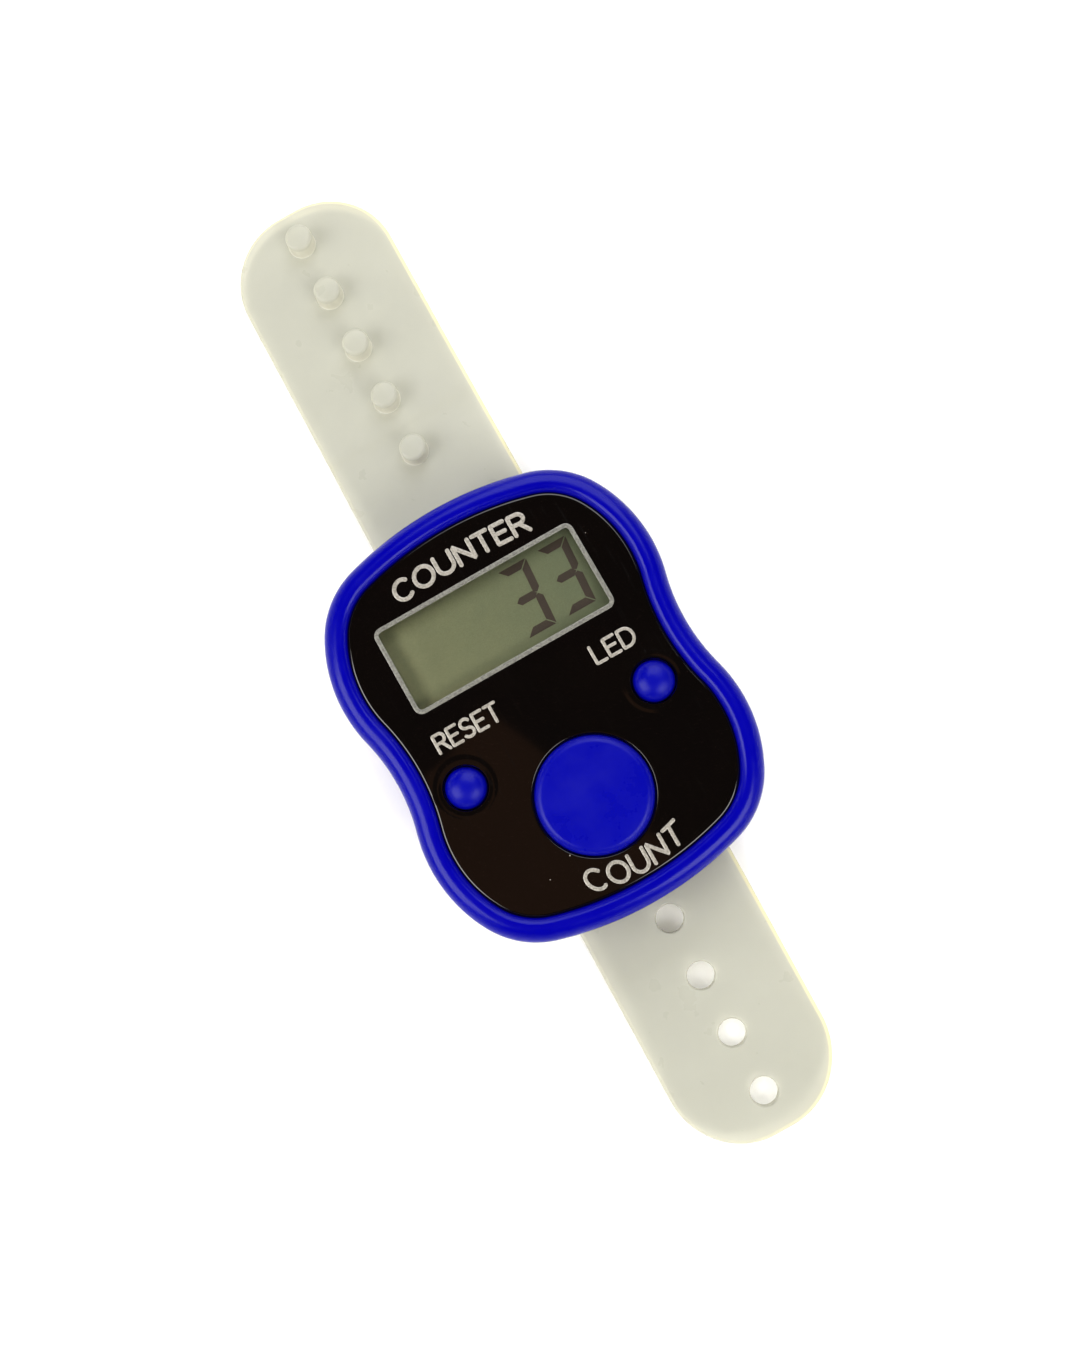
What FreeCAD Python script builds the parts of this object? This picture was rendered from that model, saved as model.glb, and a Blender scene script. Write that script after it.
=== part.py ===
import FreeCAD, Part
import math
import os
import Sketcher
from FreeCAD import Vector

# Finger-ring tally counter, millimetres.
# +Z points out of the display, +Y to the top of the display, +X to its right.
# The origin is on the rest plane (the back of the rear cover), under the middle of the case.

DIMENSIONS = {
    # case outline: end arc, corner arc, lobe arc and waist arc, all tangent
    "body_length": 38.0,
    "body_width": 29.9,
    "end_radius": 31.0,
    "corner_radius": 7.93,
    "lobe_radius": 13.0,
    "lobe_inset": 11.3,
    "waist_depth": 1.0,
    # case sections, measured inwards from the outline
    "no_inset": 0.0,
    "wall": 1.5,
    "bezel_width": 2.1,
    "panel_inset": 2.15,
    "rim_outer_inset": 1.6,
    "rim_inner_inset": 2.3,
    "board_inset": 2.3,
    # heights above the rest plane
    "case_top": 12.0,
    "split_height": 4.4,
    "deck_top": 10.8,
    "deck_bottom": 10.0,
    "panel_thickness": 0.9,
    "board_bottom": 6.6,
    "board_top": 7.4,
    "bezel_outer_round": 1.3,
    "bezel_inner_round": 0.6,
    "back_round": 1.2,
    # strap channel and bridges on the back
    "channel_side_gap": 1.1,
    "channel_top_gap": 0.15,
    "channel_wall": 1.2,
    "roof_thickness": 0.8,
    "bridge_thickness": 0.8,
    "bridge_inset": 2.8,
    "bridge_width": 4.0,
    "bridge_overlap": 0.3,
    "rim_height": 0.8,
    # case screws
    "screw_side_inset": 2.85,
    "screw_end_inset": 11.0,
    "post_radius": 1.25,
    "boss_radius": 1.45,
    "post_top": 5.3,
    "boss_bottom": 5.4,
    "screw_hole_radius": 0.85,
    "screw_shank_radius": 0.65,
    "screw_head_radius": 1.3,
    "screw_head_height": 0.9,
    "screw_head_recess": 0.3,
    "screw_counterbore_radius": 1.45,
    "pilot_radius": 0.68,
    "screw_tip": 8.4,
    "pilot_end": 8.8,
    # display
    "display_inset": 10.9,
    "window_side_inset": 5.6,
    "window_height": 7.8,
    "window_gap": 0.05,
    "skirt_wall": 0.5,
    "panel_round": 0.25,
    "glass_side_border": 0.65,
    "glass_end_border": 1.1,
    "glass_thickness": 0.45,
    "film_thickness": 0.15,
    "film_margin": 0.4,
    "holder_wall": 0.5,
    "holder_gap": 0.1,
    "zebra_end_gap": 1.0,
    "zebra_depth": 1.2,
    "zebra_inset": 0.8,
    "guide_gap": 0.4,
    "guide_left_gap": 0.35,
    "guide_right_gap": 2.35,
    "guide_thickness": 1.1,
    "lamp_length": 0.8,
    "lamp_width": 1.6,
    "lamp_height": 0.9,
    # buttons
    "count_inset": 10.1,
    "count_radius": 5.0,
    "side_inset": 5.95,
    "side_offset": 3.1,
    "side_radius": 1.8,
    "button_top": 12.3,
    "button_guide_gap": 0.1,
    "button_ring_gap": 0.35,
    "flange_width": 0.7,
    "flange_thickness": 0.8,
    "deck_clearance": 0.05,
    "count_round": 0.7,
    "side_round": 1.1,
    "collar_outer": 0.95,
    "collar_height": 0.3,
    "collar_round": 0.25,
    "dome_gap": 0.05,
    "count_dome_radius": 3.0,
    "side_dome_radius": 1.5,
    "dome_taper": 0.5,
    # circuit board parts
    "board_notch_radius": 1.65,
    "blob_radius": 1.8,
    "blob_height": 0.8,
    "blob_offset": 0.4,
    "resistor_length": 1.0,
    "resistor_width": 0.5,
    "resistor_height": 0.35,
    "resistor_pitch": 2.0,
    "resistor_offset": 1.6,
    # battery and its door
    "cell_radius": 5.8,
    "cell_height": 3.05,
    "cell_step_radius": 5.2,
    "cell_step_height": 0.3,
    "cell_offset": -1.0,
    "contact_thickness": 0.2,
    "contact_width": 3.0,
    "contact_side_gap": 0.1,
    "door_width": 13.2,
    "door_low": -8.0,
    "door_high": 10.2,
    "door_thickness": 0.7,
    "door_gap": 0.1,
    "door_tongue_width": 5.0,
    "door_tongue_reach": 1.0,
    "anchor_low": 6.4,
    "anchor_high": 11.2,
    "anchor_width": 15.2,
    "anchor_height": 1.5,
    "door_screw_offset": 8.4,
    "door_screw_head": 1.1,
    "door_screw_head_height": 0.4,
    "door_screw_tip": 4.4,
    # side pockets that lighten the rear cover
    "pocket_side_inset": 2.65,
    "pocket_along": 6.2,
    "floor_thickness": 1.2,
    # strap
    "strap_width": 15.4,
    "strap_thickness": 1.2,
    "strap_bottom": 0.95,
    "strap_bend_inset": 1.5,
    "strap_peg_tail": 3.4,
    "strap_hole_tail": 3.6,
    "strap_corner": 6.8,
    "strap_split_gap": 0.05,
    "peg_radius": 1.25,
    "peg_height": 1.9,
    "peg_round": 0.8,
    "peg_lead": 7.9,
    "peg_pitch": 5.7,
    "hole_radius": 1.25,
    "hole_lead": 2.4,
}

doc = FreeCAD.newDocument("TallyCounter")
sheet = doc.addObject("Spreadsheet::Sheet", "dims")
for row, (alias, number) in enumerate(DIMENSIONS.items(), start=1):
    sheet.set("A%d" % row, alias)
    sheet.set("B%d" % row, str(number))
    sheet.setAlias("B%d" % row, alias)
doc.recompute()

# lengths that follow from the driving dimensions, as expressions of the sheet
HALF_LENGTH = "(dims.body_length / 2)"
HALF_WIDTH = "(dims.body_width / 2)"
END_HEIGHT = "(%s - dims.end_radius)" % HALF_LENGTH
LOBE_ACROSS = "(%s - dims.lobe_radius)" % HALF_WIDTH
LOBE_ALONG = "(%s - dims.lobe_inset)" % HALF_LENGTH
# the waist arc is tangent to both lobes and waist_depth further in than they reach
WAIST_RADIUS = "((dims.lobe_radius - dims.waist_depth)^2 + %s^2 - dims.lobe_radius^2)" % LOBE_ALONG
WAIST_RADIUS = "(%s / (2 * dims.waist_depth))" % WAIST_RADIUS

SCREW_ACROSS = "(%s - dims.screw_side_inset)" % HALF_WIDTH
SCREW_ALONG = "(%s - dims.screw_end_inset)" % HALF_LENGTH
COUNT_ALONG = "(dims.count_inset - %s)" % HALF_LENGTH
SIDE_ACROSS = "(%s - dims.side_inset)" % HALF_WIDTH

DISPLAY_ALONG = "(%s - dims.display_inset)" % HALF_LENGTH
WINDOW_HALF = "(%s - dims.window_side_inset)" % HALF_WIDTH
WINDOW_LOW = "(%s - dims.window_height / 2)" % DISPLAY_ALONG
WINDOW_HIGH = "(%s + dims.window_height / 2)" % DISPLAY_ALONG
GLASS_HALF = "(%s + dims.glass_side_border)" % WINDOW_HALF
GLASS_LOW = "(%s - dims.glass_end_border)" % WINDOW_LOW
GLASS_HIGH = "(%s + dims.glass_end_border)" % WINDOW_HIGH
ZEBRA_REACH = "(dims.window_height / 2 + dims.glass_end_border - dims.zebra_inset)"
GUIDE_REACH = "(%s - dims.zebra_depth / 2 - dims.guide_gap)" % ZEBRA_REACH

CHANNEL_HALF = "(dims.strap_width / 2 + dims.channel_side_gap)"
STRAP_TOP = "(dims.strap_bottom + dims.strap_thickness)"
CHANNEL_TOP = "(%s + dims.channel_top_gap)" % STRAP_TOP
ROOF_TOP = "(%s + dims.roof_thickness)" % CHANNEL_TOP
PANEL_TOP = "(dims.deck_top + dims.panel_thickness)"
STRAP_BEND = "(%s - dims.strap_bend_inset)" % HALF_LENGTH
PEG_FIRST = "(%s + dims.peg_lead)" % HALF_LENGTH
HOLE_FIRST = "(%s + dims.hole_lead)" % HALF_LENGTH
PEG_BEND = "(%s + 1.5 * dims.peg_pitch)" % PEG_FIRST
HOLE_BEND = "(%s + 1.5 * dims.peg_pitch)" % HOLE_FIRST
PEG_END = "(%s + 4 * dims.peg_pitch + dims.strap_peg_tail)" % PEG_FIRST
HOLE_END = "(%s + 3 * dims.peg_pitch + dims.strap_hole_tail)" % HOLE_FIRST

NODES = []


def value(text):
    """The number that an expression of the sheet gives."""
    return float(sheet.evalExpression(text))


# ---------------------------------------------------------------- sketches


def new_body(name):
    body = doc.addObject("PartDesign::Body", name)
    body.Label = name
    NODES.append(body)
    return body


def new_sketch(body, name, height, plane="XY_Plane"):
    """A sketch on one of the body's origin planes, lifted by the expression height."""
    sketch = body.newObject("Sketcher::SketchObject", body.Label + "_" + name)
    support = [f for f in body.Origin.OriginFeatures if f.Role == plane][0]
    sketch.AttachmentSupport = (support, [""])
    sketch.MapMode = "FlatFace"
    sketch.setExpression("AttachmentOffset.Base.z", height)
    return sketch


def bind(sketch, kind, places, text):
    """Add a dimension of the sketch and tie it to an expression of the sheet."""
    index = sketch.addConstraint(Sketcher.Constraint(kind, *places, value(text)))
    sketch.setExpression("Constraints[%d]" % index, text)


def place_point(sketch, geometry, vertex, x_text, y_text):
    """Fix a point by its distances from the sketch's origin, whichever side it is on."""
    for kind, text in (("DistanceX", x_text), ("DistanceY", y_text)):
        if value(text) < 0:
            bind(sketch, kind, (geometry, vertex, -1, 1), "-(%s)" % text)
        else:
            bind(sketch, kind, (-1, 1, geometry, vertex), text)


def circle_crossing(first, first_radius, second, second_radius):
    """The crossing of two circles that lies furthest towards +X."""
    apart = second - first
    span = apart.Length
    along = (span ** 2 + first_radius ** 2 - second_radius ** 2) / (2 * span)
    aside = math.sqrt(first_radius ** 2 - along ** 2)
    foot = first + apart * (along / span)
    normal = Vector(-apart.y, apart.x, 0) * (aside / span)
    return max(foot + normal, foot - normal, key=lambda point: point.x)


def outline_quarter(inset):
    """Centres and joints of the arcs in the quarter where x and y are positive.

    Down from the top they are an end arc, a corner arc, a lobe arc and a waist arc, each
    tangent to the next. An inset moves the arcs inwards about the same centres.
    """
    end_radius = value("dims.end_radius")
    corner_radius = value("dims.corner_radius")
    lobe_radius = value("dims.lobe_radius")
    end = Vector(0, value(END_HEIGHT), 0)
    lobe = Vector(value(LOBE_ACROSS), value(LOBE_ALONG), 0)
    reach = value(WAIST_RADIUS) + lobe_radius
    waist = Vector(lobe.x + math.sqrt(reach ** 2 - lobe.y ** 2), 0, 0)
    corner = circle_crossing(end, end_radius - corner_radius, lobe, lobe_radius - corner_radius)
    joints = (
        end + (corner - end).normalize() * (end_radius - inset),
        lobe + (corner - lobe).normalize() * (lobe_radius - inset),
        lobe + (waist - lobe).normalize() * (lobe_radius - inset),
    )
    return {"end": end, "corner": corner, "lobe": lobe, "waist": waist}, joints


def arc_about(centre, start, finish):
    """The arc about centre from start to finish, counter-clockwise."""
    first = math.atan2(start.y - centre.y, start.x - centre.x)
    last = math.atan2(finish.y - centre.y, finish.x - centre.x)
    if last < first:
        last += 2 * math.pi
    circle = Part.Circle(centre, Vector(0, 0, 1), (start - centre).Length)
    return Part.ArcOfCircle(circle, first, last)


def outline_radii(inset_text):
    """The radius of each kind of arc in the outline moved inwards by the inset."""
    return {
        "end": "dims.end_radius - %s" % inset_text,
        "corner": "dims.corner_radius - %s" % inset_text,
        "lobe": "dims.lobe_radius - %s" % inset_text,
        "waist": "%s + %s" % (WAIST_RADIUS, inset_text),
    }


def add_outline(sketch, inset_text):
    """Add the closed case outline, moved inwards by the inset and fully dimensioned."""
    centres, (end_joint, corner_joint, waist_joint) = outline_quarter(value(inset_text))
    radius_texts = outline_radii(inset_text)
    # once round from the right of the waist: kind, then the signs of x and y where it starts and ends
    turns = (
        ("lobe", waist_joint, (1, 1), corner_joint, (1, 1)),
        ("corner", corner_joint, (1, 1), end_joint, (1, 1)),
        ("end", end_joint, (1, 1), end_joint, (-1, 1)),
        ("corner", end_joint, (-1, 1), corner_joint, (-1, 1)),
        ("lobe", corner_joint, (-1, 1), waist_joint, (-1, 1)),
        ("waist", waist_joint, (-1, 1), waist_joint, (-1, -1)),
        ("lobe", waist_joint, (-1, -1), corner_joint, (-1, -1)),
        ("corner", corner_joint, (-1, -1), end_joint, (-1, -1)),
        ("end", end_joint, (-1, -1), end_joint, (1, -1)),
        ("corner", end_joint, (1, -1), corner_joint, (1, -1)),
        ("lobe", corner_joint, (1, -1), waist_joint, (1, -1)),
        ("waist", waist_joint, (1, -1), waist_joint, (1, 1)),
    )
    first = sketch.GeometryCount
    tips = []
    for kind, start, start_signs, finish, finish_signs in turns:
        centre = centres[kind]
        side, turn = start_signs
        middle = Vector(centre.x * side, centre.y * turn, 0)
        begin = Vector(start.x * side, start.y * turn, 0)
        close = Vector(finish.x * finish_signs[0], finish.y * finish_signs[1], 0)
        hollow = kind == "waist"
        arc = arc_about(middle, close, begin) if hollow else arc_about(middle, begin, close)
        sketch.addGeometry(arc, False)
        tips.append((2, 1) if hollow else (1, 2))
    count = len(turns)
    for index in range(count):
        after = (index + 1) % count
        places = (first + index, tips[index][1], first + after, tips[after][0])
        sketch.addConstraint(Sketcher.Constraint("Tangent", *places))
    for index, (kind, _, (side, turn), _, _) in enumerate(turns):
        geometry = first + index
        bind(sketch, "Radius", (geometry,), radius_texts[kind])
        across = "-" if side < 0 else ""
        along = "-" if turn < 0 else ""
        if kind == "end":
            sketch.addConstraint(Sketcher.Constraint("PointOnObject", geometry, 3, -2))
            height = along + END_HEIGHT
            if value(height) < 0:
                bind(sketch, "DistanceY", (geometry, 3, -1, 1), "-(%s)" % height)
            else:
                bind(sketch, "DistanceY", (-1, 1, geometry, 3), height)
        if kind == "lobe":
            place_point(sketch, geometry, 3, across + LOBE_ACROSS, along + LOBE_ALONG)


def add_circle(sketch, x_text, y_text, radius_text):
    centre = Vector(value(x_text), value(y_text), 0)
    circle = Part.Circle(centre, Vector(0, 0, 1), value(radius_text))
    geometry = sketch.addGeometry(circle, False)
    place_point(sketch, geometry, 3, x_text, y_text)
    bind(sketch, "Radius", (geometry,), radius_text)


def add_rectangle(sketch, left, right, low, high):
    """A rectangle between four lines, each given as an expression."""
    corners = [
        Vector(value(left), value(low), 0),
        Vector(value(right), value(low), 0),
        Vector(value(right), value(high), 0),
        Vector(value(left), value(high), 0),
    ]
    first = sketch.GeometryCount
    for index in range(4):
        sketch.addGeometry(Part.LineSegment(corners[index], corners[(index + 1) % 4]), False)
    for index in range(4):
        after = (index + 1) % 4
        places = (first + index, 2, first + after, 1)
        sketch.addConstraint(Sketcher.Constraint("Coincident", *places))
        direction = "Horizontal" if index % 2 == 0 else "Vertical"
        sketch.addConstraint(Sketcher.Constraint(direction, first + index))
    place_point(sketch, first, 1, left, low)
    place_point(sketch, first + 2, 1, right, high)


# ---------------------------------------------------------------- features


def extrude(body, kind, sketch, length, upwards, name):
    """A Pad or a Pocket of the sketch, along +Z or along -Z."""
    feature = body.newObject("PartDesign::" + kind, body.Label + "_" + name)
    feature.Profile = sketch
    feature.setExpression("Length", length)
    # a pad grows along the sketch's normal and a pocket cuts against it
    feature.Reversed = upwards if kind == "Pocket" else not upwards
    doc.recompute()
    return feature


def checked_cut(body, sketch, length, upwards, name):
    """A pocket that has to take something away."""
    before = body.Shape.Volume
    feature = extrude(body, "Pocket", sketch, length, upwards, name)
    if not body.Shape.Volume < before - 1e-6:
        raise RuntimeError("%s cuts nothing" % feature.Name)
    return feature


def edges_where(feature, test):
    """Names of the feature's edges whose box passes the test."""
    names = []
    for index, edge in enumerate(feature.Shape.Edges, start=1):
        if test(edge, edge.BoundBox):
            names.append("Edge%d" % index)
    return names


def dress(body, kind, feature, names, size_property, size, label):
    """A Fillet or a Chamfer of the named edges."""
    if not names:
        raise RuntimeError("%s finds no edges" % label)
    dressed = body.newObject("PartDesign::" + kind, body.Label + "_" + label)
    dressed.Base = (feature, names)
    dressed.setExpression(size_property, size)
    doc.recompute()
    return dressed


def fillet(body, feature, names, radius, label):
    return dress(body, "Fillet", feature, names, "Radius", radius, label)


def flat_at(box, height):
    return abs(box.ZMin - height) < 1e-4 and abs(box.ZMax - height) < 1e-4


def outline_edges(feature, height, inset_text):
    """The feature's edges at that height that belong to the outline with that inset."""
    level = value(height)
    radii = [value(text) for text in outline_radii(inset_text).values()]

    def belongs(edge, box):
        if not flat_at(box, level):
            return False
        return any(abs(edge.Curve.Radius - radius) < 1e-4 for radius in radii)

    return edges_where(feature, belongs)


# ---------------------------------------------------------------- simple solids


def block(name, left, right, low, high, bottom, top, listed=True):
    """A Part::Box between six planes, each given as an expression."""
    solid = doc.addObject("Part::Box", name)
    solid.Label = name
    solid.setExpression("Length", "(%s) - (%s)" % (right, left))
    solid.setExpression("Width", "(%s) - (%s)" % (high, low))
    solid.setExpression("Height", "(%s) - (%s)" % (top, bottom))
    for axis, text in (("x", left), ("y", low), ("z", bottom)):
        solid.setExpression("Placement.Base." + axis, text)
    if listed:
        NODES.append(solid)
    return solid


def round_bar(name, x, y, bottom, top, radius, top_radius=None, listed=True):
    """An upright Part::Cylinder, or a Part::Cone where the top has a radius of its own."""
    kind = "Part::Cylinder" if top_radius is None else "Part::Cone"
    solid = doc.addObject(kind, name)
    solid.Label = name
    solid.setExpression("Height", "(%s) - (%s)" % (top, bottom))
    if top_radius is None:
        solid.setExpression("Radius", radius)
    else:
        solid.setExpression("Radius1", radius)
        solid.setExpression("Radius2", top_radius)
    for axis, text in (("x", x), ("y", y), ("z", bottom)):
        solid.setExpression("Placement.Base." + axis, text)
    if listed:
        NODES.append(solid)
    return solid


def fused(name, base, tool, listed=True):
    solid = doc.addObject("Part::Fuse", name)
    solid.Label = name
    solid.Base = base
    solid.Tool = tool
    if listed:
        NODES.append(solid)
    return solid


def less(name, base, tool, listed=True):
    solid = doc.addObject("Part::Cut", name)
    solid.Label = name
    solid.Base = base
    solid.Tool = tool
    if listed:
        NODES.append(solid)
    return solid


def grouped(name, solids):
    """Identical pieces that share one node as separate solids."""
    group = doc.addObject("Part::Compound", name)
    group.Label = name
    group.Links = solids
    NODES.append(group)
    return group


# ---------------------------------------------------------------- the case

BUTTONS = {
    "count": ("0", COUNT_ALONG, "dims.count_radius", "dims.count_round"),
    "reset": ("-" + SIDE_ACROSS, "-dims.side_offset", "dims.side_radius", "dims.side_round"),
    "led": (SIDE_ACROSS, "-dims.side_offset", "dims.side_radius", "dims.side_round"),
}
SCREWS = [
    (across + SCREW_ACROSS, along + SCREW_ALONG) for across in ("", "-") for along in ("", "-")
]


def add_window(sketch, margin):
    """The display window's rectangle, grown on each side by the margin."""
    half = "(%s + %s)" % (WINDOW_HALF, margin)
    low = "%s - (%s)" % (WINDOW_LOW, margin)
    high = "%s + (%s)" % (WINDOW_HIGH, margin)
    add_rectangle(sketch, "-" + half, half, low, high)


def make_front_case():
    """The blue shell: side wall, rounded bezel, deck under the panel and four screw bosses."""
    body = new_body("front_case")
    outline = new_sketch(body, "outline", "dims.split_height")
    add_outline(outline, "dims.no_inset")
    extrude(body, "Pad", outline, "dims.case_top - dims.split_height", True, "block")
    cavity = new_sketch(body, "cavity", "dims.split_height")
    add_outline(cavity, "dims.wall")
    checked_cut(body, cavity, "dims.deck_bottom - dims.split_height", True, "hollow")
    recess = new_sketch(body, "recess", "dims.case_top")
    add_outline(recess, "dims.bezel_width")
    bowl = checked_cut(body, recess, "dims.case_top - dims.deck_top", False, "panel_seat")

    outer = outline_edges(bowl, "dims.case_top", "dims.no_inset")
    rounded = fillet(body, bowl, outer, "dims.bezel_outer_round", "bezel_outer")
    inner = outline_edges(rounded, "dims.case_top", "dims.bezel_width")
    fillet(body, rounded, inner, "dims.bezel_inner_round", "bezel_inner")

    bosses = new_sketch(body, "bosses", "dims.deck_bottom")
    pilots = new_sketch(body, "pilots", "dims.boss_bottom")
    for x, y in SCREWS:
        add_circle(bosses, x, y, "dims.boss_radius")
        add_circle(pilots, x, y, "dims.pilot_radius")
    extrude(body, "Pad", bosses, "dims.deck_bottom - dims.boss_bottom", False, "boss")
    checked_cut(body, pilots, "dims.pilot_end - dims.boss_bottom", True, "pilot")
    openings = new_sketch(body, "openings", "dims.deck_top")
    add_window(openings, "dims.skirt_wall + dims.window_gap")
    for x, y, radius, _ in BUTTONS.values():
        add_circle(openings, x, y, radius + " + dims.button_guide_gap")
    checked_cut(body, openings, "dims.deck_top - dims.deck_bottom", False, "opening")


def make_rear_cover():
    """The blue back: strap channel with two bridges, battery opening, screw posts and rim."""
    body = new_body("rear_cover")
    outline = new_sketch(body, "outline", "0")
    add_outline(outline, "dims.no_inset")
    slab = extrude(body, "Pad", outline, "dims.split_height", True, "slab")
    lowest = outline_edges(slab, "0", "dims.no_inset")
    fillet(body, slab, lowest, "dims.back_round", "back")

    cavity = new_sketch(body, "cavity", "dims.split_height")
    add_outline(cavity, "dims.wall")
    checked_cut(body, cavity, "dims.split_height - " + ROOF_TOP, False, "hollow")
    pockets = new_sketch(body, "pockets", ROOF_TOP)
    inner = "(%s + dims.channel_wall)" % CHANNEL_HALF
    outer = "(%s - dims.pocket_side_inset)" % HALF_WIDTH
    for left, right in ((inner, outer), ("-" + outer, "-" + inner)):
        add_rectangle(pockets, left, right, "-dims.pocket_along", "dims.pocket_along")
    checked_cut(body, pockets, ROOF_TOP + " - dims.floor_thickness", False, "side_pocket")

    channel = new_sketch(body, "channel", "0")
    add_rectangle(
        channel, "-" + CHANNEL_HALF, CHANNEL_HALF, "-dims.body_length", "dims.body_length"
    )
    checked_cut(body, channel, CHANNEL_TOP, True, "strap_channel")
    bridges = new_sketch(body, "bridges", "0")
    outer = "(%s - dims.bridge_inset)" % HALF_LENGTH
    inner = "(%s - dims.bridge_inset - dims.bridge_width)" % HALF_LENGTH
    reach = "(%s + dims.bridge_overlap)" % CHANNEL_HALF
    for low, high in ((inner, outer), ("-" + outer, "-" + inner)):
        add_rectangle(bridges, "-" + reach, reach, low, high)
    extrude(body, "Pad", bridges, "dims.bridge_thickness", True, "bridge")

    opening = new_sketch(body, "battery_opening", CHANNEL_TOP)
    add_rectangle(
        opening,
        "-(dims.door_width / 2 + dims.door_gap)",
        "dims.door_width / 2 + dims.door_gap",
        "dims.door_low - dims.door_gap",
        "dims.door_high + dims.door_gap",
    )
    checked_cut(body, opening, "dims.roof_thickness", True, "battery_opening_cut")
    anchor = new_sketch(body, "anchor", ROOF_TOP)
    add_rectangle(
        anchor, "-dims.anchor_width / 2", "dims.anchor_width / 2", "dims.anchor_low", "dims.anchor_high"
    )
    extrude(body, "Pad", anchor, "dims.anchor_height", True, "door_anchor")
    door_pilot = new_sketch(body, "door_pilot", ROOF_TOP)
    add_circle(door_pilot, "0", "dims.door_screw_offset", "dims.pilot_radius")
    checked_cut(body, door_pilot, "dims.anchor_height", True, "door_pilot_cut")

    rim = new_sketch(body, "rim", "dims.split_height")
    add_outline(rim, "dims.rim_outer_inset")
    add_outline(rim, "dims.rim_inner_inset")
    extrude(body, "Pad", rim, "dims.rim_height", True, "locating_rim")
    root = new_sketch(body, "rim_root", ROOF_TOP)
    add_outline(root, "dims.wall")
    add_outline(root, "dims.rim_inner_inset")
    extrude(body, "Pad", root, "dims.split_height - " + ROOF_TOP, True, "rim_step")
    posts = new_sketch(body, "posts", ROOF_TOP)
    holes = new_sketch(body, "screw_holes", "0")
    seats = new_sketch(body, "screw_seats", "0")
    for x, y in SCREWS:
        add_circle(posts, x, y, "dims.post_radius")
        add_circle(holes, x, y, "dims.screw_hole_radius")
        add_circle(seats, x, y, "dims.screw_counterbore_radius")
    extrude(body, "Pad", posts, "dims.post_top - " + ROOF_TOP, True, "post")
    checked_cut(body, holes, "dims.post_top", True, "screw_hole")
    seat_depth = "dims.screw_head_recess + dims.screw_head_height"
    checked_cut(body, seats, seat_depth, True, "screw_seat")


def make_face_panel():
    """The black panel: window opening with a skirt, button holes and two raised collars."""
    body = new_body("face_panel")
    outline = new_sketch(body, "outline", "dims.deck_top")
    add_outline(outline, "dims.panel_inset")
    slab = extrude(body, "Pad", outline, "dims.panel_thickness", True, "slab")
    rim = outline_edges(slab, PANEL_TOP, "dims.panel_inset")
    fillet(body, slab, rim, "dims.panel_round", "edge")

    skirt = new_sketch(body, "skirt", "dims.deck_top")
    add_window(skirt, "dims.skirt_wall")
    extrude(body, "Pad", skirt, "dims.deck_top - dims.deck_bottom", False, "skirt_wall")
    collars = new_sketch(body, "collars", PANEL_TOP)
    for name in ("reset", "led"):
        x, y, radius, _ = BUTTONS[name]
        add_circle(collars, x, y, radius + " + dims.collar_outer")
    raised = extrude(body, "Pad", collars, "dims.collar_height", True, "collar")
    ring = value(PANEL_TOP + " + dims.collar_height")
    crests = edges_where(raised, lambda e, b: flat_at(b, ring))
    fillet(body, raised, crests, "dims.collar_round", "collar_top")

    holes = new_sketch(body, "holes", "dims.case_top")
    add_window(holes, "dims.window_gap")
    for x, y, radius, _ in BUTTONS.values():
        add_circle(holes, x, y, radius + " + dims.button_ring_gap")
    checked_cut(body, holes, "dims.case_top - dims.deck_bottom", False, "hole")


def make_case_screws():
    """Four self-tapping screws from the back into the front case's bosses."""
    head_bottom = "dims.screw_head_recess"
    head_top = "dims.screw_head_recess + dims.screw_head_height"
    screws = []
    for index, (x, y) in enumerate(SCREWS):
        head = round_bar(
            "screw_head_%d" % index, x, y, head_bottom, head_top,
            "dims.screw_head_radius", listed=False,
        )
        shank = round_bar(
            "screw_shank_%d" % index, x, y, head_top, "dims.screw_tip",
            "dims.screw_shank_radius", listed=False,
        )
        screws.append(fused("screw_%d" % index, head, shank, listed=False))
    grouped("case_screws", screws)


# ---------------------------------------------------------------- the display

STACK_TOP = "dims.deck_bottom - 2 * dims.deck_clearance"
REAR_FILM_TOP = "%s - dims.film_thickness - 2 * dims.glass_thickness" % STACK_TOP
STACK_BOTTOM = "%s - dims.film_thickness" % REAR_FILM_TOP


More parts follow.
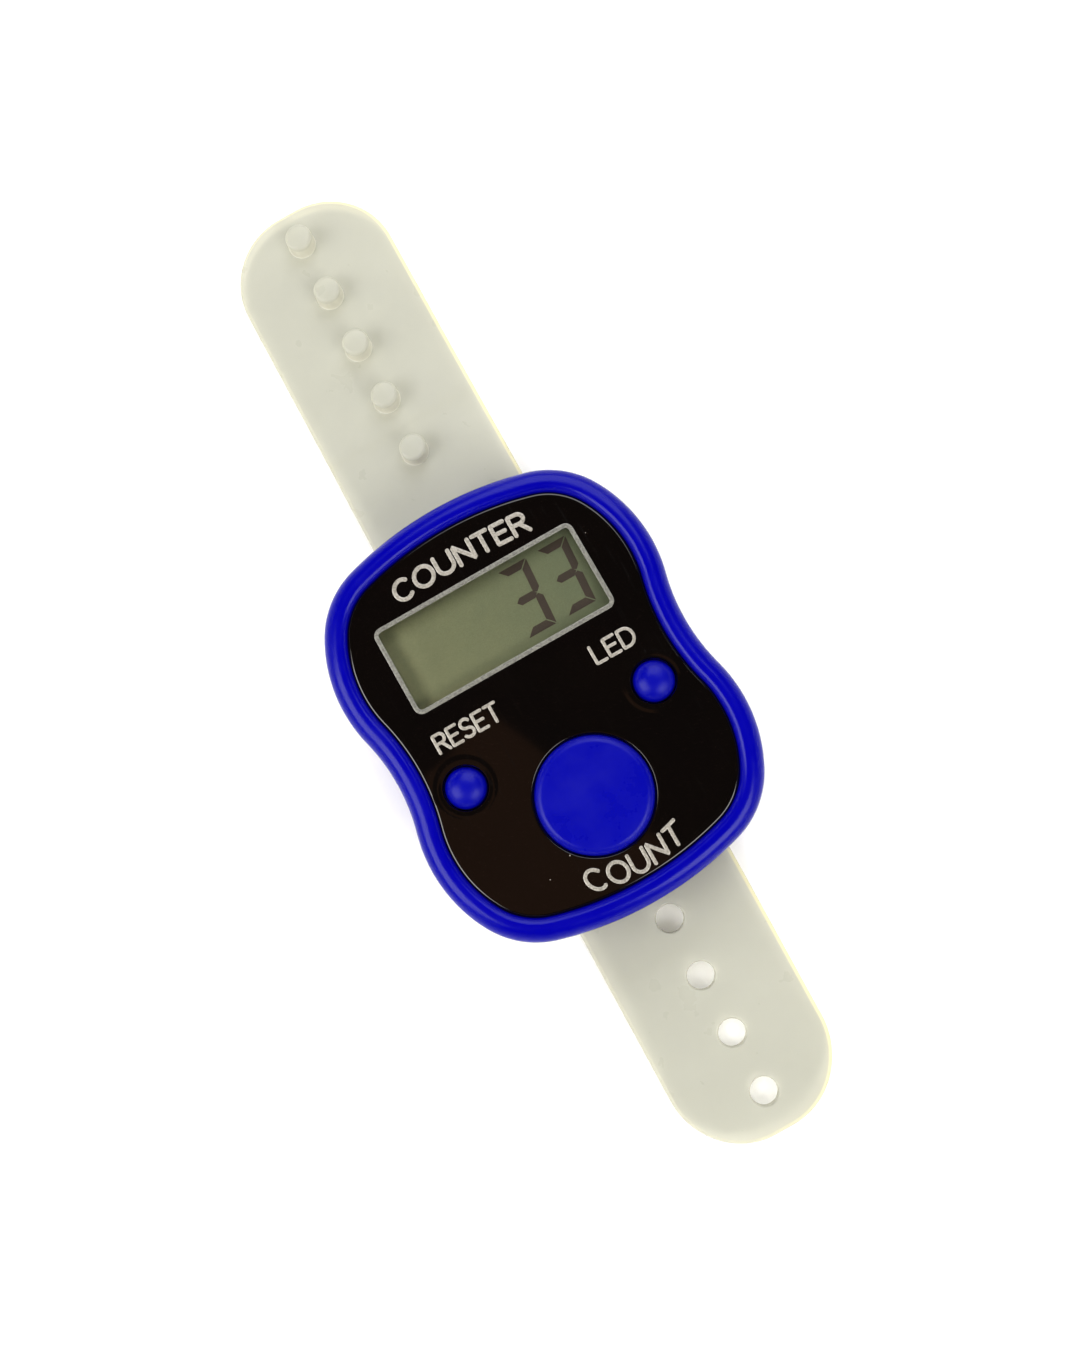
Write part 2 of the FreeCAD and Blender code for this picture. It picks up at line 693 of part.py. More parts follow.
def make_display():
    """The window, the liquid-crystal cell between two films, its holder, strips and light."""
    block(
        "display_window", "-" + WINDOW_HALF, WINDOW_HALF, WINDOW_LOW, WINDOW_HIGH,
        "dims.deck_top", PANEL_TOP,
    )
    margin = "dims.film_margin"
    film = (
        "-(%s - %s)" % (GLASS_HALF, margin),
        "%s - %s" % (GLASS_HALF, margin),
        "%s + %s" % (GLASS_LOW, margin),
        "%s - %s" % (GLASS_HIGH, margin),
    )
    glass = ("-" + GLASS_HALF, GLASS_HALF, GLASS_LOW, GLASS_HIGH)
    middle = "%s + dims.glass_thickness" % REAR_FILM_TOP
    block("rear_polariser", *film, STACK_BOTTOM, REAR_FILM_TOP)
    block("lcd_rear_glass", *glass, REAR_FILM_TOP, middle)
    block("lcd_front_glass", *glass, middle, "%s - dims.film_thickness" % STACK_TOP)
    block("front_polariser", *film, "%s - dims.film_thickness" % STACK_TOP, STACK_TOP)

    gap = "dims.holder_gap"
    wall = "(dims.holder_gap + dims.holder_wall)"
    sides = (("-" + GLASS_HALF, "-"), (GLASS_HALF, "+"), (GLASS_LOW, "-"), (GLASS_HIGH, "+"))
    outside = ["%s %s %s" % (place, sign, wall) for place, sign in sides]
    inside = ["%s %s %s" % (place, sign, gap) for place, sign in sides]
    heights = ("dims.board_top", "dims.deck_bottom - dims.deck_clearance")
    outer = block("holder_outside", *outside, *heights, listed=False)
    inner = block("holder_inside", *inside, *heights, listed=False)
    less("lcd_holder", outer, inner)

    for name, sign in (("zebra_strip_upper", "+"), ("zebra_strip_lower", "-")):
        line = "%s %s %s" % (DISPLAY_ALONG, sign, ZEBRA_REACH)
        reach = "(%s - dims.zebra_end_gap)" % GLASS_HALF
        block(
            name, "-" + reach, reach,
            line + " - dims.zebra_depth / 2", line + " + dims.zebra_depth / 2",
            "dims.board_top", STACK_BOTTOM,
        )
    guide_end = "(%s - dims.guide_right_gap)" % WINDOW_HALF
    block(
        "light_guide", "dims.guide_left_gap - " + WINDOW_HALF, guide_end,
        "%s - %s" % (DISPLAY_ALONG, GUIDE_REACH), "%s + %s" % (DISPLAY_ALONG, GUIDE_REACH),
        "dims.board_top", "dims.board_top + dims.guide_thickness",
    )
    start = guide_end + " + dims.deck_clearance"
    block(
        "backlight_lamp", start, start + " + dims.lamp_length",
        DISPLAY_ALONG + " - dims.lamp_width / 2", DISPLAY_ALONG + " + dims.lamp_width / 2",
        "dims.board_top", "dims.board_top + dims.lamp_height",
    )


# ---------------------------------------------------------------- board and battery


def make_circuit_board():
    """The board follows the case and is notched round the four bosses."""
    body = new_body("circuit_board")
    outline = new_sketch(body, "outline", "dims.board_bottom")
    add_outline(outline, "dims.board_inset")
    extrude(body, "Pad", outline, "dims.board_top - dims.board_bottom", True, "board")
    notches = new_sketch(body, "notches", "dims.board_top")
    for x, y in SCREWS:
        add_circle(notches, x, y, "dims.board_notch_radius")
    checked_cut(body, notches, "dims.board_top - dims.board_bottom", False, "notch")


def make_board_parts():
    """The controller under its epoxy blob and a row of chip resistors."""
    round_bar(
        "controller_blob", "0", "-dims.blob_offset", "dims.board_top",
        "dims.board_top + dims.blob_height", "dims.blob_radius", "dims.blob_radius / 2",
    )
    low = "dims.resistor_offset"
    resistors = []
    for index in range(3):
        left = "%d * dims.resistor_pitch - %s" % (index, SIDE_ACROSS)
        resistors.append(
            block(
                "resistor_%d" % index, left, left + " + dims.resistor_length", low,
                low + " + dims.resistor_width", "dims.board_top",
                "dims.board_top + dims.resistor_height", listed=False,
            )
        )
    grouped("chip_resistors", resistors)


def make_battery():
    """The coin cell stands on the door with its smaller pole up, between two contacts."""
    bottom = ROOF_TOP
    step = "%s + dims.cell_height - dims.cell_step_height" % bottom
    place = ("0", "dims.cell_offset")
    can = round_bar("cell_can", *place, bottom, step, "dims.cell_radius", listed=False)
    pole = round_bar(
        "cell_pole", *place, step, bottom + " + dims.cell_height",
        "dims.cell_step_radius", listed=False,
    )
    fused("coin_cell", can, pole)
    half = "dims.contact_width / 2"
    block(
        "pole_contact", "-" + half, half, "dims.cell_offset - dims.cell_step_radius / 2",
        "dims.cell_offset + dims.cell_step_radius / 2",
        "dims.board_bottom - dims.contact_thickness", "dims.board_bottom",
    )
    side = "dims.cell_radius + dims.contact_side_gap"
    block(
        "can_contact", side, side + " + dims.contact_thickness",
        "dims.cell_offset - " + half, "dims.cell_offset + " + half,
        bottom + " + dims.contact_side_gap", "dims.board_bottom",
    )


def make_battery_door():
    """A plate in the channel's roof: a tongue at one end, a screw at the other."""
    body = new_body("battery_door")
    plate = new_sketch(body, "plate", CHANNEL_TOP)
    half = "dims.door_width / 2"
    add_rectangle(plate, "-" + half, half, "dims.door_low", "dims.door_high")
    extrude(body, "Pad", plate, "dims.door_thickness", True, "plate_pad")
    step = new_sketch(body, "step", CHANNEL_TOP + " + dims.door_thickness")
    tongue = new_sketch(body, "tongue", ROOF_TOP + " + dims.deck_clearance")
    wide = "dims.door_tongue_width / 2"
    inner = "dims.door_low + dims.door_tongue_reach"
    add_rectangle(step, "-" + wide, wide, "dims.door_low", inner)
    add_rectangle(tongue, "-" + wide, wide, "dims.door_low - dims.door_tongue_reach", inner)
    step_height = "dims.roof_thickness + dims.deck_clearance - dims.door_thickness"
    extrude(body, "Pad", step, step_height, True, "step_pad")
    extrude(body, "Pad", tongue, "dims.door_thickness / 2", True, "tongue_pad")
    hole = new_sketch(body, "hole", CHANNEL_TOP)
    seat = new_sketch(body, "seat", CHANNEL_TOP)
    add_circle(hole, "0", "dims.door_screw_offset", "dims.screw_hole_radius")
    add_circle(seat, "0", "dims.door_screw_offset", "dims.door_screw_head + dims.door_gap")
    checked_cut(body, hole, "dims.door_thickness", True, "hole_cut")
    checked_cut(body, seat, "dims.door_screw_head_height", True, "seat_cut")

    head_top = CHANNEL_TOP + " + dims.door_screw_head_height"
    place = ("0", "dims.door_screw_offset")
    head = round_bar(
        "door_screw_head", *place, CHANNEL_TOP, head_top,
        "dims.door_screw_head", listed=False,
    )
    shank = round_bar(
        "door_screw_shank", *place, head_top, "dims.door_screw_tip",
        "dims.screw_shank_radius", listed=False,
    )
    fused("door_screw", head, shank)


# ---------------------------------------------------------------- buttons


def make_button(name, x, y, radius, edge_round):
    """A cap with a rounded top, a flange under the deck and the dome that it presses."""
    body = new_body(name + "_button")
    flange_top = "dims.deck_bottom - dims.deck_clearance"
    flange_bottom = "%s - dims.flange_thickness" % flange_top
    cap = new_sketch(body, "cap", flange_bottom)
    add_circle(cap, x, y, radius)
    stem = extrude(body, "Pad", cap, "dims.button_top - (%s)" % flange_bottom, True, "stem")
    top = value("dims.button_top")
    fillet(body, stem, edges_where(stem, lambda e, b: flat_at(b, top)), edge_round, "crown")
    flange = new_sketch(body, "flange", flange_bottom)
    add_circle(flange, x, y, radius + " + dims.flange_width")
    extrude(body, "Pad", flange, "dims.flange_thickness", True, "flange_pad")
    dome_radius = "dims.count_dome_radius" if name == "count" else "dims.side_dome_radius"
    round_bar(
        name + "_dome", x, y, "dims.board_top", "%s - dims.dome_gap" % flange_bottom,
        dome_radius, dome_radius + " * dims.dome_taper",
    )


# ---------------------------------------------------------------- strap


def strap_slab(body, low, high):
    sketch = new_sketch(body, "slab", "dims.strap_bottom")
    half = "dims.strap_width / 2"
    add_rectangle(sketch, "-" + half, half, low, high)
    return extrude(body, "Pad", sketch, "dims.strap_thickness", True, "slab_pad")


def strap_round_end(body, feature, y_text):
    """Round the two upright edges at the strap's tip, which lies at that expression of y."""
    end = value(y_text)
    corners = edges_where(
        feature,
        lambda e, b: abs(b.YMin - end) < 1e-4 and abs(b.YMax - end) < 1e-4 and b.ZLength > 0.1,
    )
    fillet(body, feature, corners, "dims.strap_corner", "tip")


def strap_pegs(body, places):
    sketch = new_sketch(body, "pegs", STRAP_TOP)
    for place in places:
        add_circle(sketch, "0", "%s + %d * dims.peg_pitch" % (PEG_FIRST, place), "dims.peg_radius")
    pegs = extrude(body, "Pad", sketch, "dims.peg_height", True, "peg")
    crown = value(STRAP_TOP + " + dims.peg_height")
    crowns = edges_where(pegs, lambda e, b: flat_at(b, crown))
    fillet(body, pegs, crowns, "dims.peg_round", "peg_crown")


def strap_holes(body, places):
    sketch = new_sketch(body, "holes", STRAP_TOP)
    for place in places:
        along = "-(%s + %d * dims.peg_pitch)" % (HOLE_FIRST, place)
        add_circle(sketch, "0", along, "dims.hole_radius")
    checked_cut(body, sketch, "dims.strap_thickness", False, "hole")


def make_strap():
    """One moulded strap, divided where it bends so that each stretch can turn."""
    gap = " - dims.strap_split_gap"
    middle = new_body("strap_middle")
    strap_slab(middle, "-(%s%s)" % (STRAP_BEND, gap), STRAP_BEND + gap)
    peg_root = new_body("strap_peg_root")
    strap_slab(peg_root, STRAP_BEND, PEG_BEND + gap)
    strap_pegs(peg_root, (0, 1))
    peg_tip = new_body("strap_peg_tip")
    slab = strap_slab(peg_tip, PEG_BEND, PEG_END)
    strap_round_end(peg_tip, slab, PEG_END)
    strap_pegs(peg_tip, (2, 3, 4))
    hole_root = new_body("strap_hole_root")
    strap_slab(hole_root, "-(%s%s)" % (HOLE_BEND, gap), "-" + STRAP_BEND)
    strap_holes(hole_root, (0, 1))
    hole_tip = new_body("strap_hole_tip")
    slab = strap_slab(hole_tip, "-" + HOLE_END, "-" + HOLE_BEND)
    strap_round_end(hole_tip, slab, "-" + HOLE_END)
    strap_holes(hole_tip, (2, 3))


# ---------------------------------------------------------------- build and write

make_front_case()
make_rear_cover()
make_face_panel()
make_case_screws()
make_display()
make_circuit_board()
make_board_parts()
make_battery()
make_battery_door()
for button, (x, y, radius, edge_round) in BUTTONS.items():
    make_button(button, x, y, radius, edge_round)
make_strap()
doc.recompute()

for item in doc.Objects:
    if "Invalid" in item.State or "Error" in item.State:
        raise RuntimeError("%s (%s) did not recompute: %s" % (item.Name, item.Label, item.State))
for node in NODES:
    if node.Shape.isNull() or not node.Shape.isValid():
        raise RuntimeError("%s has no valid shape" % node.Label)

os.makedirs("parts", exist_ok=True)
for node in NODES:
    node.Shape.exportStep("parts/%s.step" % node.Label)
    print("%-20s %d solid(s) %9.3f mm3" % (node.Label, len(node.Shape.Solids), node.Shape.Volume))
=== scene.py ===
import math

import bmesh
import bpy
import numpy as np
from mathutils import Matrix, Vector
from mathutils.geometry import delaunay_2d_cdt


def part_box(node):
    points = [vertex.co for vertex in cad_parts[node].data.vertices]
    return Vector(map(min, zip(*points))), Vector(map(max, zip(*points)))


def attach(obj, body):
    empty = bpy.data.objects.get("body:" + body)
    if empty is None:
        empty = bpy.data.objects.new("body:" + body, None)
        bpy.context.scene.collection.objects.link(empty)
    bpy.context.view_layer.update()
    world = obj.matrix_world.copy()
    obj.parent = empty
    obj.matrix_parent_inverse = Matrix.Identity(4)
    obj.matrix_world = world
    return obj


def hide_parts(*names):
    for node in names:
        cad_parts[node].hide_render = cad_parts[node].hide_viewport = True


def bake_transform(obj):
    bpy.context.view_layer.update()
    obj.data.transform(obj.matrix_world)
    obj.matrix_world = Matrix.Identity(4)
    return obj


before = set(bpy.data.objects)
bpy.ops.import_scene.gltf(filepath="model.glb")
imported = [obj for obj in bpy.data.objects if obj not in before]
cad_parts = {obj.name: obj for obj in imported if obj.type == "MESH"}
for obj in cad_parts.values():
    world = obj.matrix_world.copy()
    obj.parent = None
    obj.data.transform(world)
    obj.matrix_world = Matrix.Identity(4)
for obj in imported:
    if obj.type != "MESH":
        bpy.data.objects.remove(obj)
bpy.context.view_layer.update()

bl_info = {
    "name": "Finger-ring tally counter",
    "version": (1, 0, 0),
    "blender": (4, 5, 0),
    "location": "View3D > Sidebar > Tally",
    "description": "Builds the shells, display, buttons and strap of a finger-ring tally counter",
    "category": "Add Mesh",
}

MM = 0.001
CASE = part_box("front_case")
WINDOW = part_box("display_window")
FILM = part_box("front_polariser")
BUTTON_BOXES = {name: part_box(name + "_button") for name in ("count", "reset", "led")}
PEG_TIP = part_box("strap_peg_tip")
PEG_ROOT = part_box("strap_peg_root")
HOLE_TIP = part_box("strap_hole_tip")
HOLE_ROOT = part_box("strap_hole_root")
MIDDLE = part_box("strap_middle")


# ---------------------------------------------------------------- settings


def length(name, description, millimetres):
    """A size in metres whose default is given in millimetres."""
    return bpy.props.FloatProperty(
        name=name, description=description, default=millimetres * MM,
        unit="LENGTH", subtype="DISTANCE", precision=5,
    )


def angle(name, description, degrees):
    """An angle whose default is given in degrees."""
    return bpy.props.FloatProperty(
        name=name, description=description, default=math.radians(degrees), unit="ROTATION", subtype="ANGLE"
    )


def paint(name, description, colour):
    """A finish's colour as an sRGB hex string."""
    return bpy.props.StringProperty(name=name, description=description, default=colour)


class TallyCase(bpy.types.PropertyGroup):
    """Outline arcs and section of the two case shells."""

    end_radius: length("End radius", "Arc across the top and bottom of the case", 31.0)
    corner_radius: length("Corner radius", "Arc between the end and the lobe", 7.93)
    lobe_radius: length("Lobe radius", "Arc of the four lobes beside the waist", 13.0)
    lobe_inset: length("Lobe inset", "Lobe centre's distance from the case's end", 11.3)
    waist_depth: length("Waist depth", "How far the waist lies inside the lobes", 1.0)
    wall: length("Wall", "Thickness of the side wall", 1.5)
    bezel_width: length("Bezel width", "Width of the rounded rim around the panel", 2.1)
    outer_round: length("Outer round", "Radius of the bezel's outer edge", 1.34)
    inner_round: length("Inner round", "Radius of the bezel's inner edge", 0.66)
    seam_round: length("Seam round", "Small radius where the two shells meet", 0.12)
    deck_top: length("Deck height", "Top of the deck under the panel", 10.8)
    deck_thickness: length("Deck thickness", "Thickness of that deck", 0.8)
    colour: paint("Case colour", "Colour of the moulded shells", "#01007E")


class TallyPanel(bpy.types.PropertyGroup):
    """The glossy face panel and what is printed on it."""

    inset: length("Panel inset", "Panel edge's distance inside the case outline", 2.15)
    crown: length("Crown", "How far the panel's middle stands above its edge", 0.14)
    edge_round: length("Edge round", "Radius of the panel's outer edge", 0.24)
    hole_round: length("Hole round", "Radius of the rims of the button holes", 0.12)
    ring_gap: length("Ring gap", "Clearance between a button and the panel", 0.14)
    collar_reach: length("Collar reach", "Collar's width outside a small button", 0.95)
    collar_height: length("Collar height", "How far the collars stand up", 0.03)
    frame_width: length("Frame width", "Width of the printed line round the window", 0.38)
    ink_height: length("Ink height", "Thickness of the printed marks", 0.02)
    colour: paint("Panel colour", "Colour behind the glossy sheet", "#030202")
    ink: paint("Ink colour", "Colour of the printed marks", "#757067")
    frame_ink: paint("Frame ink", "Colour of the line round the window", "#51504B")


class TallyDisplay(bpy.types.PropertyGroup):
    """The liquid-crystal display."""

    count: bpy.props.IntProperty(
        name="Count", description="Number that the display shows", default=33, min=0, max=99999
    )
    digit_pitch: length("Digit pitch", "Distance from one digit to the next", 3.85)
    digit_height: length("Digit height", "Height of a digit", 6.2)
    digit_width: length("Digit width", "Width of a digit", 2.75)
    segment_width: length("Segment width", "Width of a segment", 0.68)
    right_gap: length("Right gap", "Last digit's distance from the window's edge", 0.8)
    digit_rise: length("Digit rise", "How far the digits sit above the window's middle", 0.4)
    slant: angle("Slant", "Forward lean of the digits", 4.0)
    film: paint("Film colour", "Colour of the unlit display", "#8E9173")
    segment: paint("Segment colour", "Colour of a driven segment", "#3B2F2A")


class TallyButtons(bpy.types.PropertyGroup):
    """The three button caps."""

    flange: length("Flange", "Width of the flange that keeps a cap in", 0.7)
    flange_thickness: length("Flange thickness", "Thickness of that flange", 0.8)
    count_round: length("Count round", "Radius of the large cap's edge", 0.7)
    side_round: length("Side round", "Radius of the small caps' edge", 1.15)
    dish: length("Dish", "Depth of the large cap's finger dish", 0.06)
    colour: paint("Button colour", "Colour of the moulded caps", "#01027E")


class TallyStrap(bpy.types.PropertyGroup):
    """The translucent strap with its pegs and holes."""

    edge_round: length("Edge round", "Radius of the strap's long edges", 0.34)
    tip_corner: length("Tip corner", "Plan radius of the rounded tips", 6.8)
    peg_radius: length("Peg radius", "Radius of a peg", 1.25)
    peg_height: length("Peg height", "Height of a peg above the strap", 1.9)
    peg_crown: length("Peg crown", "Radius of a peg's rounded top", 0.35)
    hole_radius: length("Hole radius", "Radius of a hole", 1.25)
    pitch: length("Pitch", "Distance between pegs and between holes", 5.7)
    peg_tail: length("Peg tail", "Last peg's distance from the tip", 3.4)
    hole_tail: length("Hole tail", "Last hole's distance from the tip", 3.6)
    shift: length("Shift", "How far the strap lies to the right of the case's middle", 0.8)
    skew: angle("Skew", "Turn of the strap in its loose channel", 1.1)
    droop: length("Droop", "How far the free ends sink towards the table", 0.75)
    curl: length("Curl", "How far the tip with holes lifts again", 0.9)
    colour: paint("Strap colour", "Colour of the milky silicone", "#B9BAB1")
    edge_colour: paint("Edge colour", "Colour of the light that leaves the edges", "#DDD8B2")


class TallyStage(bpy.types.PropertyGroup):
    """Camera and light."""

    distance: length("Distance", "From the display to the camera", 120.0)
    tilt: angle("Tilt", "Camera's lean towards the lower end", 5.7)
    roll: angle("Roll", "Turn about the line of sight", 29.7)
    lens: bpy.props.FloatProperty(
        name="Lens", description="Focal length in millimetres", default=37.9, min=10.0, max=200.0
    )
    floor_colour: paint("Floor colour", "Colour of the floor", "#FBFBFB")


# ---------------------------------------------------------------- surfaces in numpy


def mesh_part(points, faces):
    """One part of a mesh: its points as rows of x, y, z and its faces as rows of indices."""
    return [(np.asarray(points, float).reshape(-1, 3), np.asarray(faces, int))]


def grid(points, wrap=False):
    """The quads of a grid P(i, j): each joins (i, j), (i, j+1), (i+1, j+1) and (i+1, j)."""
    rows, columns = points.shape[:2]
    number = np.arange(rows * columns).reshape(rows, columns)
    after = np.roll(number, -1, axis=1) if wrap else number[:, 1:]
    here = number if wrap else number[:, :-1]
    quads = np.stack([here[:-1], after[:-1], after[1:], here[1:]], axis=-1)
    return mesh_part(points, quads.reshape(-1, 4))


def flipped(parts):
    """The same parts with every face turned over."""
    return [(points, faces[:, ::-1]) for points, faces in parts]


def scaled(parts, scale):
    """Parts scaled along the axes; a mirrored scale turns the faces over."""
    turn = -1 if np.prod(scale) < 0 else 1
    return [(points * np.array(scale), faces[:, ::turn]) for points, faces in parts]


def arc(centre, radius, first, last, count):
    """Points at centre + radius * (cos a, sin a), for a from first to last in degrees."""
    angle = np.radians(np.linspace(first, last, count))
    return np.stack([centre[0] + radius * np.cos(angle), centre[1] + radius * np.sin(angle)], axis=-1)


def circle(centre, radius, count=72):
    """A ring of points round a centre, counter-clockwise, and its outward directions."""
    ring = arc((0, 0), 1.0, 0, 360, count + 1)[:-1]
    return ring * radius + np.array(centre), ring


def rounded_rectangle(low, high, radius, count=6, step=0.45 * MM):
    """A rectangle's outline whose four corners are quarter arcs, and its outward directions."""
    low, high = np.array(low), np.array(high)
    ring, facing = [], []
    corners = ((high[0], low[1], -90), (high[0], high[1], 0), (low[0], high[1], 90), (low[0], low[1], 180))
    for x, y, start in corners:
        inward = np.array([radius if x == low[0] else -radius, radius if y == low[1] else -radius])
        turn = arc((0, 0), 1.0, start, start + 90, count)
        ring.append(np.array([x, y]) + inward + turn * radius)
        facing.append(turn)
    full, away = [], []
    for index in range(4):
        begin, end = ring[index][-1], ring[(index + 1) % 4][0]
        pieces = max(2, int(np.linalg.norm(end - begin) / step))
        share = np.linspace(0, 1, pieces + 1)[1:-1, None]
        full += [ring[index], begin + (end - begin) * share]
        away += [facing[index], np.repeat(facing[index][-1:], pieces - 1, axis=0)]
    return np.concatenate(full), np.concatenate(away)


def swept(path, facing, profile, lift=None, wrap=True):
    """A profile carried along a path.

    The point (i, j) is path j moved along its facing direction by the profile's first
    number i, at the height of the profile's second number i plus the path's own lift j.
    """
    profile = np.asarray(profile, float)
    lift = np.zeros(len(path)) if lift is None else lift
    flat = path[None] + facing[None] * profile[:, :1, None]
    height = profile[:, 1:2] + lift[None]
    return grid(np.concatenate([flat, height[..., None]], axis=-1), wrap)


def turned(profile, centre, count=72, lift=0.0):
    """A profile of (radius, height) rows turned about an upright axis through the centre."""
    ring, facing = circle(centre, 0.0, count)
    return swept(ring, facing, profile, np.full(count, lift))


def upright(loop, start, end):
    """A wall over a loop, from one height to another, each a number or one number per point."""
    rings = [np.column_stack([loop, np.broadcast_to(height, len(loop))]) for height in (start, end)]
    return grid(np.stack(rings), wrap=True)


def within(points, loop):
    """Whether each point lies inside a closed loop, by counting the edges it sees towards +X."""
    x, y = points[:, :1], points[:, 1:2]
    ax, ay = loop[:, 0][None], loop[:, 1][None]
    bx, by = np.roll(ax, -1, axis=1), np.roll(ay, -1, axis=1)
    spans = (ay > y) != (by > y)
    run = np.where(by == ay, 1.0, by - ay)
    meets = ax + (y - ay) * (bx - ax) / run
    return np.sum(spans & (x < meets), axis=1) % 2 == 1


def region(outer, holes, height, step=None):
    """The area inside one loop and outside the others, at the height that a function of x, y gives."""
    loops = [outer, *holes]
    points = np.concatenate(loops)
    edges, first = [], 0
    for loop in loops:
        here = np.arange(first, first + len(loop))
        edges += np.stack([here, np.roll(here, -1)], axis=-1).tolist()
        first += len(loop)
    if step:
        low, high = outer.min(axis=0), outer.max(axis=0)
        across, along = np.meshgrid(np.arange(low[0], high[0], step), np.arange(low[1], high[1], step))
        across = across + (np.arange(across.shape[0])[:, None] % 2) * step / 2
        fill = np.stack([across.ravel(), along.ravel()], axis=-1)
        apart = np.min(np.linalg.norm(fill[:, None] - points[None], axis=-1), axis=1)
        keep = within(fill, outer) & (apart > 0.6 * step)
        for hole in holes:
            keep &= ~within(fill, hole)
        points = np.concatenate([points, fill[keep]])
    scaled = [Vector(point) for point in (points / MM).tolist()]
    found = delaunay_2d_cdt(scaled, edges, [], 1, 1e-5, False)
    corners = np.array([list(point) for point in found[0]]) * MM
    triangles = np.array(found[2])
    middle = corners[triangles].mean(axis=1)
    keep = within(middle, outer)
    for hole in holes:
        keep &= ~within(middle, hole)
    solid = np.concatenate([corners, height(corners[:, 0], corners[:, 1])[:, None]], axis=-1)
    return mesh_part(solid, triangles[keep])


def level(height):
    """A height function that is the same everywhere."""
    return lambda x, y: np.full(x.shape, height)


def make_mesh(name, parts, sharp=40.0, close=False, weld=2e-7):
    """Welds the parts into one mesh object at the origin; faces that meet sharply keep an edge."""
    points = np.concatenate([part[0] for part in parts])
    faces, first = [], 0
    for corners, corner_rows in parts:
        faces += (corner_rows + first).tolist()
        first += len(corners)
    mesh = bpy.data.meshes.new(name)
    mesh.from_pydata(points.tolist(), [], faces)
    work = bmesh.new()
    work.from_mesh(mesh)
    bmesh.ops.remove_doubles(work, verts=work.verts, dist=weld)
    if close:
        rims = [edge for edge in work.edges if edge.is_boundary]
        bmesh.ops.holes_fill(work, edges=rims, sides=0)
    bmesh.ops.triangulate(work, faces=[face for face in work.faces if len(face.verts) > 4])
    work.to_mesh(mesh)
    work.free()
    mesh.validate()
    mesh.polygons.foreach_set("use_smooth", np.ones(len(mesh.polygons), bool))
    mesh.set_sharp_from_angle(angle=math.radians(sharp))
    piece = bpy.data.objects.new(name, mesh)
    bpy.context.scene.collection.objects.link(piece)
    return piece


def finish_piece(piece, material, body="root", nodes=()):
    """Gives a piece its material and its body, and hides the CAD nodes that it stands for."""
    piece.data.materials.clear()
    piece.data.materials.append(material)
    if body:
        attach(piece, body)
    if nodes:
        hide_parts(*nodes)
    return piece


# ---------------------------------------------------------------- materials


def linear(colour):
    """An sRGB hex colour as linear red, green, blue and alpha."""
    parts = np.array([int(colour[i:i + 2], 16) for i in (1, 3, 5)]) / 255
    value = np.where(parts <= 0.04045, parts / 12.92, ((parts + 0.055) / 1.055) ** 2.4)
    return (*value.tolist(), 1.0)


def per(millimetres):
    """A pattern's scale on Object coordinates, so that one feature has this size."""
    return 1.0 / (millimetres * MM)


def add_node(tree, kind, inputs=None, **settings):
    """Adds a shader node with its settings; each input is a value or the socket that feeds it."""
    node = tree.nodes.new("ShaderNode" + kind)
    for name, value in settings.items():
        setattr(node, name, value)
    for name, value in (inputs or {}).items():
        if isinstance(value, bpy.types.NodeSocket):
            tree.links.new(value, node.inputs[name])
        else:
            node.inputs[name].default_value = value
    return node


def new_material(name):
    """An empty node material, its tree and its object-space position."""
    material = bpy.data.materials.new(name)
    material.use_nodes = True
    tree = material.node_tree
    tree.nodes.clear()
    return material, tree, add_node(tree, "TexCoord").outputs["Object"]


def finished(material, tree, shader):
    """The material, with its shader led to the output."""
    add_node(tree, "OutputMaterial", {"Surface": shader.outputs[0]})
    return material


def noise_tone(tree, place, size, first, second, **noise):
    """A colour that drifts from one hex colour to another with a noise of this size in mm."""
    cloud = add_node(tree, "TexNoise", {"Vector": place, "Scale": per(size), **noise})
    ends = {0: cloud.outputs[0], 6: linear(first), 7: linear(second)}
    return add_node(tree, "Mix", ends, data_type="RGBA").outputs[2]


def noise_range(tree, place, size, low, high, result_low, result_high, **noise):
    """A noise of this size in mm, its values from low to high spread over the result's range."""
    patch = add_node(tree, "TexNoise", {"Vector": place, "Scale": per(size), **noise})
    spread = {
        "Value": patch.outputs[0], "From Min": low, "From Max": high,
        "To Min": result_low, "To Max": result_high,
    }
    return add_node(tree, "MapRange", spread).outputs[0]


def noise_relief(tree, place, size, strength, depth, **noise):
    """A normal roughened by a noise of this size, with its depth in mm."""
    height = add_node(tree, "TexNoise", {"Vector": place, "Scale": per(size), **noise}).outputs[0]
    return add_node(tree, "Bump", {"Strength": strength, "Distance": depth * MM, "Height": height}).outputs[0]


def dusted(tree, place, colour, size, near, far, peak, spared, dust):
    """Specks of dust over a colour, and their mask.

    A speck is the middle of a cell of a Voronoi pattern; the share of cells spared has none.
    """
    cells = add_node(tree, "TexVoronoi", {"Vector": place, "Scale": per(size)})
    speck = add_node(
        tree, "MapRange",
        {
            "Value": cells.outputs["Distance"], "From Min": near, "From Max": far, "To Min": peak, "To Max": 0.0,
        },
    )
    chosen = add_node(tree, "SeparateColor", {0: cells.outputs["Color"]})
    rare = add_node(tree, "Math", {0: chosen.outputs[0], 1: spared}, operation="GREATER_THAN")
    mask = add_node(tree, "Math", {0: speck.outputs[0], 1: rare.outputs[0]}, operation="MULTIPLY").outputs[0]
    return add_node(tree, "Mix", {0: mask, 6: colour, 7: linear(dust)}, data_type="RGBA").outputs[2], mask


